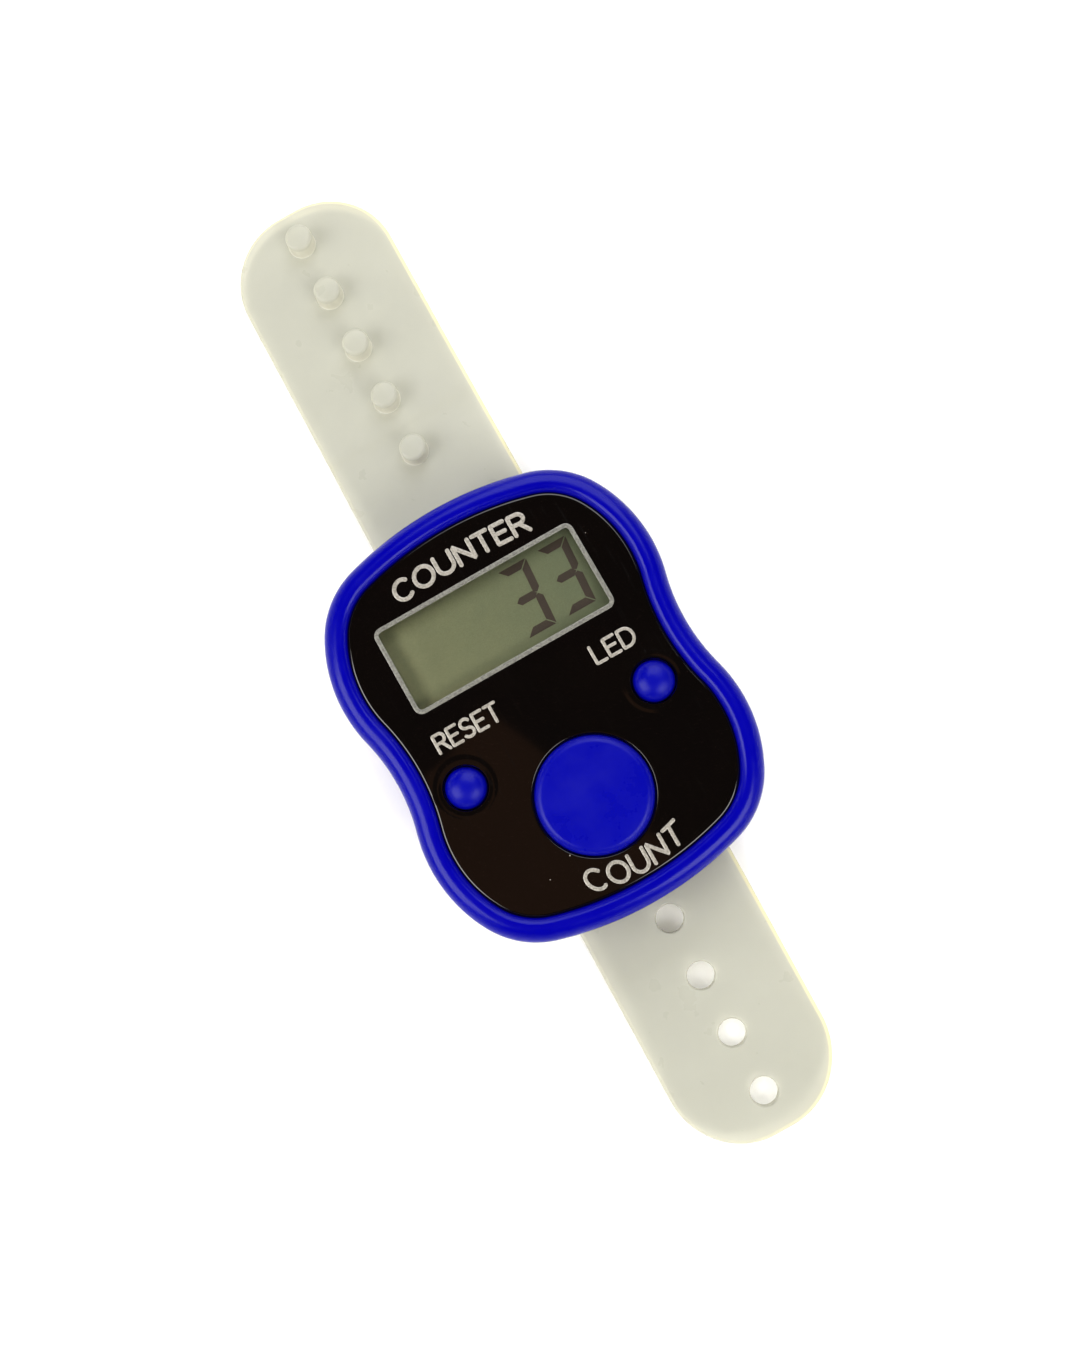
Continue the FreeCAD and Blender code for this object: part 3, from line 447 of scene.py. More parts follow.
def moulded_abs(name, colour, light, roughness, grain, depth, shine):
    """ABS moulded in a steel tool.

    The melt's flow leaves centimetre-sized clouds of slightly lighter colour, the tool's
    finish leaves a fine grain in the normal, and handling leaves patches of duller gloss.
    """
    material, tree, place = new_material(name)
    duller = noise_range(
        tree, place, 3.0, 0.35, 0.7, roughness * 0.8, roughness * 1.35, Detail=5.0, Roughness=0.62
    )
    shader = add_node(tree, "BsdfPrincipled", {
        "Base Color": noise_tone(tree, place, 7.0, colour, light, Detail=3.0, Roughness=0.5),
        "Normal": noise_relief(tree, place, grain, depth, 0.02, Detail=2.0, Roughness=0.6),
        "Roughness": duller, "IOR": 1.54, "Specular IOR Level": shine,
    })
    return finished(material, tree, shader)


def printed_acrylic(name, colour):
    """Clear acrylic sheet, polished, printed black on its back.

    The print looks wet and deep under the sheet; a few pale dust specks and hair scratches
    lie on the polish and break up the reflections.
    """
    material, tree, place = new_material(name)
    deep = noise_tone(tree, place, 9.0, colour, "#070403", Detail=2.0)
    dusty, spots = dusted(tree, place, deep, 2.1, 0.018, 0.034, 1.0, 0.72, "#8C857C")
    # hair scratches: noise drawn out along one direction
    turned_away, drawn_out = (0.0, 0.0, 0.7), (1.0, 0.03, 1.0)
    along = add_node(tree, "Mapping", {"Vector": place, "Rotation": turned_away, "Scale": drawn_out})
    worn = noise_range(tree, along.outputs[0], 0.16, 0.62, 0.72, 0.045, 0.16, Detail=2.0)
    shader = add_node(tree, "BsdfPrincipled", {
        "Base Color": dusty, "Roughness": add_node(tree, "Mix", {0: spots, 2: worn, 3: 0.6}).outputs[0],
        "Normal": noise_relief(tree, place, 5.0, 0.1, 0.05, Detail=1.0), "IOR": 1.49,
    })
    return finished(material, tree, shader)


def clear_acrylic(name):
    """Clear acrylic window, polished: what lies below shows through, with a mirror-like gloss."""
    material, tree, place = new_material(name)
    rough = noise_range(tree, place, 0.9, 0.4, 0.75, 0.02, 0.12, Detail=6.0, Roughness=0.7)
    shine = add_node(tree, "BsdfGlossy", {"Color": (1.0, 1.0, 1.0, 1.0), "Roughness": rough})
    through = add_node(tree, "BsdfTransparent", {"Color": linear("#F8F8F4")})
    gloss = add_node(tree, "Fresnel", {"IOR": 1.49})
    mixed = {0: gloss.outputs[0], 1: through.outputs[0], 2: shine.outputs[0]}
    return finished(material, tree, add_node(tree, "MixShader", mixed))


def display_film(name, colour, width):
    """Polarising film over a reflector: matt olive, with painted light that makes it paler to the left, and a
    fine silk texture.
    """
    material, tree, place = new_material(name)
    where = add_node(tree, "SeparateXYZ", {0: place})
    # painted light: the tone runs from paler at the left to darker at the right, with soft clouds on top
    across = add_node(
        tree, "MapRange", {"Value": where.outputs[0], "From Min": -width / 2, "From Max": width / 2}
    )
    cloud = add_node(tree, "TexNoise", {"Vector": place, "Scale": per(2.2), "Detail": 4.0, "Roughness": 0.6})
    drift = add_node(tree, "Math", {0: cloud.outputs[0], 1: 0.5}, operation="SUBTRACT")
    cloud_and_painted_light = {0: drift.outputs[0], 1: 0.55, 2: across.outputs[0]}
    cloud_and_painted_light = add_node(tree, "Math", cloud_and_painted_light, operation="MULTIPLY_ADD").outputs[0]
    tone = add_node(tree, "Mix", {0: cloud_and_painted_light, 6: linear(colour), 7: linear("#79826A")}, data_type="RGBA")
    silk = noise_range(tree, place, 0.12, 0.3, 0.7, 0.93, 1.07, Detail=2.0)
    grainy = add_node(tree, "VectorMath", {0: tone.outputs[2], "Scale": silk}, operation="SCALE")
    return finished(material, tree, add_node(
        tree, "BsdfPrincipled", {"Base Color": grainy.outputs[0], "Roughness": 0.5, "Specular IOR Level": 0.3}
    ))


def display_segment(name, colour):
    """Twisted crystal between crossed films: dark brown with a faint violet drift."""
    material, tree, place = new_material(name)
    tone = noise_tone(tree, place, 1.6, colour, "#4A3B37", Detail=3.0)
    return finished(material, tree, add_node(tree, "BsdfPrincipled", {"Base Color": tone, "Roughness": 0.45}))


def screen_ink(name, colour, flakes):
    """Metallic screen-printing ink: tiny aluminium flakes give a fine sparkle, thin where worn."""
    material, tree, place = new_material(name)
    flake = add_node(tree, "TexVoronoi", {"Vector": place, "Scale": per(0.09)})
    shade = add_node(tree, "SeparateColor", {0: flake.outputs["Color"]}).outputs[0]
    tones = {0: shade, 6: linear(colour), 7: linear(flakes)}
    tone = add_node(tree, "Mix", tones, data_type="RGBA").outputs[2]
    thin = noise_range(tree, place, 0.5, 0.6, 0.8, 0.0, 0.45, Detail=5.0, Roughness=0.7)
    worn = add_node(tree, "Mix", {0: thin, 6: tone, 7: linear("#6F6A62")}, data_type="RGBA").outputs[2]
    shader = add_node(tree, "BsdfPrincipled", {
        "Base Color": worn, "Roughness": 0.42, "Metallic": 0.25, "Coat Weight": 0.4, "Coat Roughness": 0.1,
    })
    return finished(material, tree, shader)


def milky_silicone(name, colour, edge_colour):
    """Translucent silicone, moulded thin.

    Light that enters the face travels inside and leaves at the rim; that light is painted into
    the colour as a brighter, yellower line and a paler glow along the rim, the line most on the
    right. The face is milky, with soft clouds and a few dark specks. A peg's wall is painted
    paler too, as painted light. Cut faces let most of the light through.
    """
    material, tree, place = new_material(name)
    rim = add_node(tree, "Attribute", attribute_name="rim_distance").outputs["Fac"]
    raised = add_node(tree, "Attribute", attribute_name="peg_rise").outputs["Fac"]
    cut = add_node(tree, "Attribute", attribute_name="cut_face").outputs["Fac"]
    side = add_node(tree, "SeparateXYZ", {0: place}).outputs[0]
    # each share: what it depends on, that value's range, the share's range, and the curve
    # the first four shares place painted light: a rim line, a paler glow inside it, the line's rise towards the
    # right and a glow on the peg walls
    shares = {
        "line": (rim, 0.24 * MM, 0.4 * MM, 1.0, 0.0, "SMOOTHSTEP"),
        "painted_rim_halo": (rim, 0.4 * MM, 1.4 * MM, 0.12, 0.0, "SMOOTHSTEP"),
        "right": (side, -5.0 * MM, 6.0 * MM, 0.15, 1.0, "LINEAR"),
        "wall": (raised, 1.3 * MM, 1.86 * MM, 0.9, 0.0, "LINEAR"),
        "clear": (cut, 0.0, 1.0, 0.42, 0.9, "LINEAR"),
    }
    keys = ("Value", "From Min", "From Max", "To Min", "To Max")
    share = {
        use: add_node(tree, "MapRange", dict(zip(keys, row)), interpolation_type=row[-1]).outputs[0]
        for use, row in shares.items()
    }
    # painted rim light: the yellow line along the edge, stronger to the right
    line = add_node(tree, "Math", {0: share["line"], 1: share["right"]}, operation="MULTIPLY").outputs[0]
    # painted light: a peg's wall is painted paler, fading out towards its top
    on_peg = add_node(tree, "Math", {0: raised, 1: 0.05 * MM}, operation="GREATER_THAN").outputs[0]
    painted_wall_glow = add_node(tree, "Math", {0: share["wall"], 1: on_peg}, operation="MULTIPLY").outputs[0]
    tone = noise_tone(tree, place, 8.0, "#ACADA5", colour, Detail=4.0, Roughness=0.55)
    # the paler rim glow and the rim line are painted light laid over the clouds
    for amount, paler in ((share["painted_rim_halo"], "#C8C8BC"), (line, edge_colour)):
        tone = add_node(tree, "Mix", {0: amount, 6: tone, 7: linear(paler)}, data_type="RGBA").outputs[2]
    tone = dusted(tree, place, tone, 3.4, 0.015, 0.028, 0.8, 0.8, "#6A655E")[0]
    tone = add_node(tree, "Mix", {0: painted_wall_glow, 6: tone, 7: linear("#E2E1D4")}, data_type="RGBA").outputs[2]
    rough = noise_range(tree, place, 2.5, 0.3, 0.7, 0.27, 0.34, Detail=3.0)
    face = add_node(tree, "BsdfPrincipled", {"Base Color": tone, "Roughness": rough, "IOR": 1.41})
    through = add_node(tree, "BsdfTransparent", {"Color": linear("#FAF8EC")})
    mixed = {0: share["clear"], 1: face.outputs[0], 2: through.outputs[0]}
    return finished(material, tree, add_node(tree, "MixShader", mixed))


def plated_metal(name, colour, roughness, streak):
    """Nickel or zinc plate over steel: bright metal whose rolling or turning left fine streaks."""
    material, tree, place = new_material(name)
    drawn = add_node(tree, "Mapping", {"Vector": place, "Scale": (1.0, 0.08, 1.0)}).outputs[0]
    shader = add_node(tree, "BsdfPrincipled", {
        "Base Color": noise_tone(tree, place, 2.0, colour, "#8F8D88", Detail=3.0), "Metallic": 1.0,
        "Roughness": noise_range(tree, drawn, streak, 0.3, 0.7, roughness * 0.7, roughness * 1.4, Detail=3.0),
    })
    return finished(material, tree, shader)


def plain_moulding(name, first, second, size, roughness, relief):
    """A matt or satin moulding, laminate or rubber: two close tones in clouds and a fine relief."""
    material, tree, place = new_material(name)
    cloud = {"Detail": 4.0, "Roughness": 0.6}
    shader = add_node(tree, "BsdfPrincipled", {
        "Base Color": noise_tone(tree, place, size, first, second, **cloud),
        "Roughness": noise_range(tree, place, size, 0.3, 0.7, roughness * 0.85, roughness * 1.15, **cloud),
        "Normal": noise_relief(tree, place, size / 8, relief, 0.03, Detail=2.0),
    })
    return finished(material, tree, shader)


def display_glass(name):
    """Thin soda-lime glass: faintly green, clear and polished, with smears in the gloss."""
    material, tree, place = new_material(name)
    shader = add_node(tree, "BsdfPrincipled", {
        "Base Color": linear("#E4F0E8"),
        "Roughness": noise_range(tree, place, 2.5, 0.4, 0.8, 0.02, 0.12, Detail=4.0),
        "IOR": 1.52, "Transmission Weight": 0.9,
    })
    return finished(material, tree, shader)


def studio_floor(name, colour):
    """Pale seamless paper: matt, with a barely visible fibre."""
    material, tree, place = new_material(name)
    tone = noise_tone(tree, place, 1.5, colour, "#F6F6F6", Detail=4.0)
    paper = {"Base Color": tone, "Roughness": 0.9, "Specular IOR Level": 0.1}
    return finished(material, tree, add_node(tree, "BsdfPrincipled", paper))


_materials = {}


def finish_named(key):
    """The material of that name, made once."""
    scene = bpy.context.scene
    case, panel, display = scene.tally_case, scene.tally_panel, scene.tally_display
    buttons, strap, stage = scene.tally_buttons, scene.tally_strap, scene.tally_stage
    finishes = {
        # polished tool: clear broad highlights, hardly any grain
        "case_blue": (moulded_abs, "Glossy moulded ABS, blue", case.colour, "#020185", 0.2, 0.5, 0.03, 0.1),
        # spark-eroded tool: satin face that spreads the highlights
        "button_blue": (moulded_abs, "Satin moulded ABS, blue", buttons.colour, "#020486", 0.3, 0.14, 0.2, 0.1),
        "panel_black": (printed_acrylic, "Back-printed acrylic, black", panel.colour),
        "clear_acrylic": (clear_acrylic, "Polished acrylic, clear"),
        "lcd_film": (display_film, "Polariser over reflector", display.film, WINDOW[1].x - WINDOW[0].x),
        "segment": (display_segment, "Driven liquid crystal", display.segment),
        "ink": (screen_ink, "Silver screen ink", panel.ink, "#A09B92"),
        "frame_ink": (screen_ink, "Grey screen ink", panel.frame_ink, "#7E7D75"),
        "strap_silicone": (milky_silicone, "Moulded silicone, milky", strap.colour, strap.edge_colour),
        "lcd_glass": (display_glass, "Display glass"),
        "holder_white": (plain_moulding, "Moulded ABS, white", "#E6E4DC", "#F1EFE8", 3.0, 0.45, 0.2),
        "lamp_ceramic": (plain_moulding, "Lamp ceramic", "#E9E2B8", "#F4EFD2", 0.6, 0.4, 0.2),
        "zebra_rubber": (plain_moulding, "Striped contact rubber", "#3A3A3E", "#6C6C70", 0.3, 0.7, 0.4),
        "dome_silicone": (plain_moulding, "Dome rubber, grey", "#A9ABAF", "#BDBFC3", 1.5, 0.55, 0.3),
        "board_laminate": (plain_moulding, "Glass-fibre laminate, green", "#1F5A36", "#2A6B42", 1.0, 0.4, 0.5),
        "epoxy_black": (plain_moulding, "Potting epoxy, black", "#0C0C0D", "#171719", 1.5, 0.25, 0.2),
        "plated_steel": (plated_metal, "Nickel plate, rolled", "#C4C2BC", 0.24, 0.2),
        "screw_steel": (plated_metal, "Zinc plate, turned", "#B4B6B8", 0.32, 0.15),
        "floor": (studio_floor, "Seamless paper", stage.floor_colour),
    }
    if key not in _materials:
        maker, *settings = finishes[key]
        _materials[key] = maker(*settings)
    return _materials[key]


# ---------------------------------------------------------------- case outline


def case_outline(case, step=0.28 * MM):
    """The case outline, counter-clockwise, and its outward directions.

    A quarter runs from the waist's middle to the end's middle along a waist arc, a lobe
    arc, a corner arc and an end arc, each tangent to the next, and is mirrored three times.
    """
    half_width, half_length = CASE[1].x, CASE[1].y
    end = np.array([0.0, half_length - case.end_radius])
    lobe = np.array([half_width - case.lobe_radius, half_length - case.lobe_inset])
    lobe_reach = case.lobe_radius - case.waist_depth
    waist_radius = (lobe_reach ** 2 + lobe[1] ** 2 - case.lobe_radius ** 2) / (2 * case.waist_depth)
    waist = np.array([lobe[0] + math.sqrt((waist_radius + case.lobe_radius) ** 2 - lobe[1] ** 2), 0.0])
    # the corner's centre lies where two circles about the end's and the lobe's centres cross
    far, near = case.end_radius - case.corner_radius, case.lobe_radius - case.corner_radius
    apart = lobe - end
    span = np.linalg.norm(apart)
    along = (span ** 2 + far ** 2 - near ** 2) / (2 * span)
    aside = math.sqrt(far ** 2 - along ** 2)
    foot = end + apart * along / span
    corner = foot + np.array([apart[1], -apart[0]]) / span * aside
    if corner[0] < foot[0]:
        corner = 2 * foot - corner

    def bearing(vector):
        return math.degrees(math.atan2(vector[1], vector[0]))

    to_lobe = bearing(lobe - waist)
    stretches = (
        (waist, waist_radius, 180.0, to_lobe % 360, -1),
        (lobe, case.lobe_radius, bearing(waist - lobe), bearing(corner - lobe), 1),
        (corner, case.corner_radius, bearing(corner - lobe), bearing(corner - end), 1),
        (end, case.end_radius, bearing(corner - end), 90.0, 1),
    )
    ring, facing = [], []
    for centre, radius, first, last, sign in stretches:
        count = max(8, int(radius * math.radians(abs(last - first)) / step))
        turn = arc((0, 0), 1.0, first, last, count + 1)[:-1]
        ring.append(centre + turn * radius)
        facing.append(turn * sign)
    ring.append(np.array([[0.0, half_length]]))
    facing.append(np.array([[0.0, 1.0]]))
    quarter, away = np.concatenate(ring), np.concatenate(facing)
    back, mirror = quarter[-2::-1] * (-1, 1), away[-2::-1] * (-1, 1)
    half = np.concatenate([quarter, back])
    half_away = np.concatenate([away, mirror])
    return np.concatenate([half[:-1], -half[:-1]]), np.concatenate([half_away[:-1], -half_away[:-1]])


def button_centre(name):
    """The middle of a button's box, from above."""
    low, high = BUTTON_BOXES[name]
    return ((low.x + high.x) / 2, (low.y + high.y) / 2)


def button_radius(name, buttons):
    """A button's radius above its flange."""
    low, high = BUTTON_BOXES[name]
    return (high.x - low.x) / 2 - buttons.flange


def panel_height(x, y):
    """The panel's top: its edge height plus crown * (1 - (x/a)^2 - (y/b)^2)."""
    crown = bpy.context.scene.tally_panel.crown
    across, along = 13.4 * MM, 17.4 * MM
    return WINDOW[1].z + crown * (1 - (x / across) ** 2 - (y / along) ** 2)


class TALLY_OT_front_shell(bpy.types.Operator):
    """Blue front shell: side wall, rounded bezel and the deck under the panel"""

    bl_idname = "tally.front_shell"
    bl_label = "Front shell"

    def execute(self, context):
        case, buttons = context.scene.tally_case, context.scene.tally_buttons
        ring, facing = case_outline(case)
        bottom, top = CASE[0].z, CASE[1].z
        seam, outer, inner, bezel = case.seam_round, case.outer_round, case.inner_round, case.bezel_width
        # the bezel's top is a short flat between its outer and inner rounds
        wall = np.concatenate([
            [(-case.wall, bottom), (-seam - 0.1 * MM, bottom)],
            arc((-seam, bottom + seam), seam, -90, 0, 6),
            arc((-outer, top - outer), outer, 0, 90, 18),
            arc((inner - bezel, top - inner), inner, 90, 180, 12),
            [(-bezel, case.deck_top)],
        ])
        deck_bottom = case.deck_top - case.deck_thickness
        deck_edge = ring - facing * bezel
        under_edge = ring - facing * case.wall
        low, high = np.array(WINDOW[0][:2]), np.array(WINDOW[1][:2])
        room = 0.55 * MM
        window = rounded_rectangle(low - room, high + room, 0.3 * MM)[0]
        circles = [
            circle(button_centre(name), button_radius(name, buttons) + 0.1 * MM)[0] for name in BUTTON_BOXES
        ]
        openings = [window, *circles]
        parts = swept(ring, facing, wall)
        parts += region(deck_edge, openings, level(case.deck_top))
        parts += flipped(region(under_edge, openings, level(deck_bottom)))
        for opening in openings:
            parts += swept(opening, opening * 0, [(0, case.deck_top), (0, deck_bottom)])
        parts += swept(ring, facing, [(-case.wall, deck_bottom), (-case.wall, bottom)])
        piece = make_mesh("front_shell", parts, sharp=32)
        finish_piece(piece, finish_named("case_blue"), "root", ["front_case"])
        return {"FINISHED"}


class TALLY_OT_face_panel(bpy.types.Operator):
    """Glossy face panel with its window opening, button holes and collars"""

    bl_idname = "tally.face_panel"
    bl_label = "Face panel"

    def execute(self, context):
        scene = context.scene
        case, panel, buttons = scene.tally_case, scene.tally_panel, scene.tally_buttons
        ring, facing = case_outline(case)
        edge = ring - facing * panel.inset
        bottom = case.deck_top
        rounding, landing = panel.edge_round, 0.06 * MM
        lift = panel_height(*(edge - facing * (rounding + landing)).T)
        rim = np.concatenate([
            [(0, -rounding)], arc((-rounding, -rounding), rounding, 0, 90, 9), [(-rounding - landing, 0)]
        ])
        parts = swept(edge, facing, [(0, bottom), (0, bottom + 0.01 * MM)])
        parts += upright(edge, bottom + 0.01 * MM, lift - rounding)
        parts += swept(edge, facing, rim, lift)
        top_loop = edge - facing * (rounding + landing)
        hole_loops, floor_loops = [], []
        low, high = np.array(WINDOW[0][:2]), np.array(WINDOW[1][:2])
        gap = 0.04 * MM
        openings = [(*rounded_rectangle(low - gap, high + gap, 0.25 * MM), 0.04 * MM, 0.0)]
        for name in BUTTON_BOXES:
            radius = button_radius(name, buttons) + panel.ring_gap
            collar = 0.0 if name == "count" else panel.collar_height
            openings.append((*circle(button_centre(name), radius, 96), panel.hole_round, collar))
        for loop, away, small, collar in openings:
            reach = panel.collar_reach - panel.ring_gap
            if collar:
                # a collar: a low bead around the hole, its section a sine squared
                bead = np.stack([np.linspace(reach, 0, 21), np.zeros(21)], axis=-1)
                bead[:, 1] = collar * np.sin(np.linspace(0, np.pi, 21)) ** 2
                bead[-1, 1] = 0.0
                bead = bead + np.array([0.02 * MM, 0])
                profile = np.concatenate([[(reach + 0.1 * MM, 0)], bead, [(0, -0.05 * MM)]])
                outer_reach = reach + 0.1 * MM
            else:
                profile = np.concatenate([
                    [(small + landing, 0)], arc((small, -small), small, 90, 180, 8),
                ])
                outer_reach = small + landing
            heights = panel_height(*(loop + away * outer_reach).T)
            parts += swept(loop, away, profile, heights)
            parts += upright(loop, heights + profile[-1, 1], bottom)
            hole_loops.append(loop + away * outer_reach)
            floor_loops.append(loop)
        parts += region(top_loop, hole_loops, panel_height, step=0.7 * MM)
        parts += flipped(region(edge, floor_loops, level(bottom)))
        piece = make_mesh("face_plate", parts, sharp=50)
        finish_piece(piece, finish_named("panel_black"), "root", ["face_panel"])
        return {"FINISHED"}


class TALLY_OT_display(bpy.types.Operator):
    """Window pane, printed frame round it and the driven segments of the display"""

    bl_idname = "tally.display"
    bl_label = "Display"

    def execute(self, context):
        panel, display = context.scene.tally_panel, context.scene.tally_display
        low, high = np.array(WINDOW[0][:2]), np.array(WINDOW[1][:2])
        # pane: a rectangle whose top follows the panel's crown
        loop, away = rounded_rectangle(low, high, 0.22 * MM)
        base, rounding = WINDOW[0].z, 0.04 * MM
        lift = panel_height(*(loop - away * rounding).T)
        parts = upright(loop, base, lift - rounding)
        parts += swept(loop, away, arc((-rounding, -rounding), rounding, 0, 90, 5), lift)
        parts += region(loop - away * rounding, [], panel_height, step=0.8 * MM)
        parts += flipped(region(loop, [], level(base)))
        pane = make_mesh("window_pane", parts)
        finish_piece(pane, finish_named("clear_acrylic"), "root", ["display_window"])

        # printed frame: a low bead whose section is half an ellipse, over the pane's joint
        half, ink = panel.frame_width / 2, panel.ink_height
        middle, outwards = rounded_rectangle(low - 0.02 * MM, high + 0.02 * MM, 0.55 * MM, count=10)
        angle = np.linspace(0, 2 * np.pi, 25)
        section = np.stack([half * np.cos(angle), ink * np.sin(angle)], axis=-1)
        heights = panel_height(*middle.T)
        frame_piece = make_mesh("window_frame", swept(middle, outwards, section, heights), sharp=80)
        finish_piece(frame_piece, finish_named("frame_ink"), "root")

        digits = make_mesh("lcd_digits", self.digits(display), sharp=30)
        finish_piece(digits, finish_named("segment"), "root")
        return {"FINISHED"}

    @staticmethod
    def digits(display):
        """Seven-segment digits: each segment is a flat bar whose ends are mitred to its neighbours."""
        wide, tall, bar = display.digit_width, display.digit_height, display.segment_width
        gap, point = 0.07 * MM, bar / 2
        middle = tall / 2

        def mirrored(shape, axis, span):
            """The same segment on the digit's other side, its points running round the same way."""
            other = np.roll(shape[::-1], 1, axis=0)
            other[:, axis] = span - other[:, axis]
            return other

        top = np.array([
            (gap, tall), (wide - gap, tall), (wide - gap - bar, tall - bar), (gap + bar, tall - bar),
        ])
        right = np.array([
            (wide, tall - gap), (wide - bar, tall - gap - bar), (wide - bar, middle + gap + point * 0.4),
            (wide - point, middle + gap), (wide, middle + gap + point),
        ])
        across = np.array([
            (gap + point, middle), (gap + bar, middle - point), (wide - gap - bar, middle - point),
            (wide - gap - point, middle), (wide - gap - bar, middle + point), (gap + bar, middle + point),
        ])
        lower = mirrored(right, 1, tall)
        shapes = {
            "a": top, "b": right, "c": lower, "d": mirrored(top, 1, tall),
            "e": mirrored(lower, 0, wide), "f": mirrored(right, 0, wide), "g": across,
        }
        lit = ("abcdef", "bc", "abged", "abgcd", "fgbc", "afgcd", "afgedc", "abc", "abcdefg", "abcdfg")
        thickness, bottom = 0.03 * MM, FILM[1].z + 0.005 * MM
        base_y = (WINDOW[0].y + WINDOW[1].y) / 2 - tall / 2 + display.digit_rise
        last = WINDOW[1].x - display.right_gap
        parts = []
        for place, letter in enumerate(reversed(str(display.count))):
            left = last - wide - place * display.digit_pitch
            for key in lit[int(letter)]:
                flat = shapes[key]
                area = np.sum(flat[:, 0] * np.roll(flat[:, 1], -1) - flat[:, 1] * np.roll(flat[:, 0], -1))
                flat = flat if area > 0 else flat[::-1]
                lean = (flat[:, 1] - tall / 2) * math.tan(display.slant)
                flat = flat + np.stack([left + lean, np.full(len(flat), base_y)], axis=-1)
                parts += region(flat, [], level(bottom + thickness))
                parts += flipped(region(flat, [], level(bottom)))
                parts += swept(flat, flat * 0, [(0, bottom), (0, bottom + thickness)])
        return parts


# ---------------------------------------------------------------- lettering

# each letter as pen strokes in a box one unit high; an arc is (centre, radii, first, last degrees)
LETTERS = {
    "C": (0.80, [[((0.42, 0.5), (0.42, 0.5), 48, 312)]]),
    "D": (0.74, [[(0, 0), (0, 1), (0.28, 1), ((0.28, 0.5), (0.46, 0.5), 90, -90), (0, 0)]]),
    "E": (0.60, [[(0.6, 1), (0, 1), (0, 0), (0.6, 0)], [(0, 0.52), (0.52, 0.52)]]),
    "L": (0.56, [[(0, 1), (0, 0), (0.56, 0)]]),
    "N": (0.74, [[(0, 0), (0, 1), (0.74, 0), (0.74, 1)]]),
    "O": (0.90, [[((0.45, 0.5), (0.45, 0.5), 0, 360)]]),
    "R": (0.68, [
        [(0, 0), (0, 1), (0.38, 1), ((0.38, 0.75), (0.27, 0.25), 90, -90), (0, 0.5)], [(0.36, 0.5), (0.68, 0)]
    ]),
    "S": (0.64, [[((0.32, 0.745), (0.3, 0.255), 30, 270), ((0.32, 0.245), (0.32, 0.245), 90, -150)]]),
    "T": (0.68, [[(0, 1), (0.68, 1)], [(0.34, 1), (0.34, 0)]]),
    "U": (0.76, [[(0, 1), (0, 0.38), ((0.38, 0.38), (0.38, 0.38), 180, 360), (0.76, 1)]]),
}


def stroke_points(stroke, spacing=0.06):
    """The stroke as evenly spaced points: straight runs and elliptical arcs, one after another."""
    rough = []
    for step in stroke:
        if len(step) == 2:
            rough.append(np.array([step], float))
        else:
            centre, radii, first, last = step
            rough.append(np.array(centre) + arc((0, 0), 1.0, first, last, 24) * np.array(radii))
    line = np.concatenate(rough)
    run = np.concatenate([[0], np.cumsum(np.linalg.norm(np.diff(line, axis=0), axis=1))])
    keep = np.concatenate([[True], np.diff(run) > 1e-9])
    line, run = line[keep], run[keep]
    places = np.unique(np.concatenate([run, np.linspace(0, run[-1], max(2, int(run[-1] / spacing)))]))
    places = places[np.concatenate([[True], np.diff(places) > 1e-4])]
    return np.stack([np.interp(places, run, line[:, axis]) for axis in (0, 1)], axis=-1)


def pen_bead(line, half, ink):
    """A low bead along a line on the panel: a half-ellipse section that shrinks to a round end.

    The line is extended by half the pen's width at both ends, where the section's width
    follows sqrt(1 - t^2), so that the ends are round.
    """
    first = line[0] - line[1]
    last = line[-1] - line[-2]
    closed = np.linalg.norm(line[0] - line[-1]) < 1e-6
    ends = np.sin(np.linspace(0, np.pi / 2, 6))
    if closed:
        path, width = line[:-1], np.ones(len(line) - 1)
        ahead = np.roll(path, -1, axis=0) - np.roll(path, 1, axis=0)
    else:
        head = line[0] + first / np.linalg.norm(first) * half * ends[:0:-1, None]
        tail = line[-1] + last / np.linalg.norm(last) * half * ends[1:, None]
        path = np.concatenate([head, line, tail])
        cap = np.sqrt(np.clip(1 - ends[1:] ** 2, 0, 1))
        width = np.concatenate([cap[::-1], np.ones(len(line)), cap])
        ahead = np.gradient(path, axis=0)
    side = np.stack([ahead[:, 1], -ahead[:, 0]], axis=-1)
    side = side / np.maximum(np.linalg.norm(side, axis=1, keepdims=True), 1e-12)
    angle = np.linspace(0, 2 * np.pi, 13)
    across = half * width[None] * np.cos(angle)[:, None]
    flat = path[None] + side[None] * across[..., None]
    rise = ink * np.sqrt(np.maximum(width, 0))[None] * np.sin(angle)[:, None]
    height = panel_height(flat[..., 0], flat[..., 1]) + rise
    return grid(np.concatenate([flat, height[..., None]], axis=-1), wrap=closed)


def lettering(text, centre, height, width, pen, smile=0.0):
    """Words on the panel, stretched to the given width and bowed down in the middle by smile."""
    ink = bpy.context.scene.tally_panel.ink_height
    spaces, cursor, strokes = 0.24, 0.0, []
    for letter in text:
        advance, drawn = LETTERS[letter]
        strokes += [stroke_points(stroke) + np.array([cursor, 0]) for stroke in drawn]
        cursor += advance + spaces
    total = cursor - spaces
    parts = []
    for line in strokes:
        x = (line[:, 0] / total - 0.5) * width
        sag = smile * (1 - (2 * x / width) ** 2)
        y = (line[:, 1] - 0.5) * height - sag
        parts += pen_bead(np.stack([x, y], axis=-1) + np.array(centre), pen / 2, ink)
    return parts


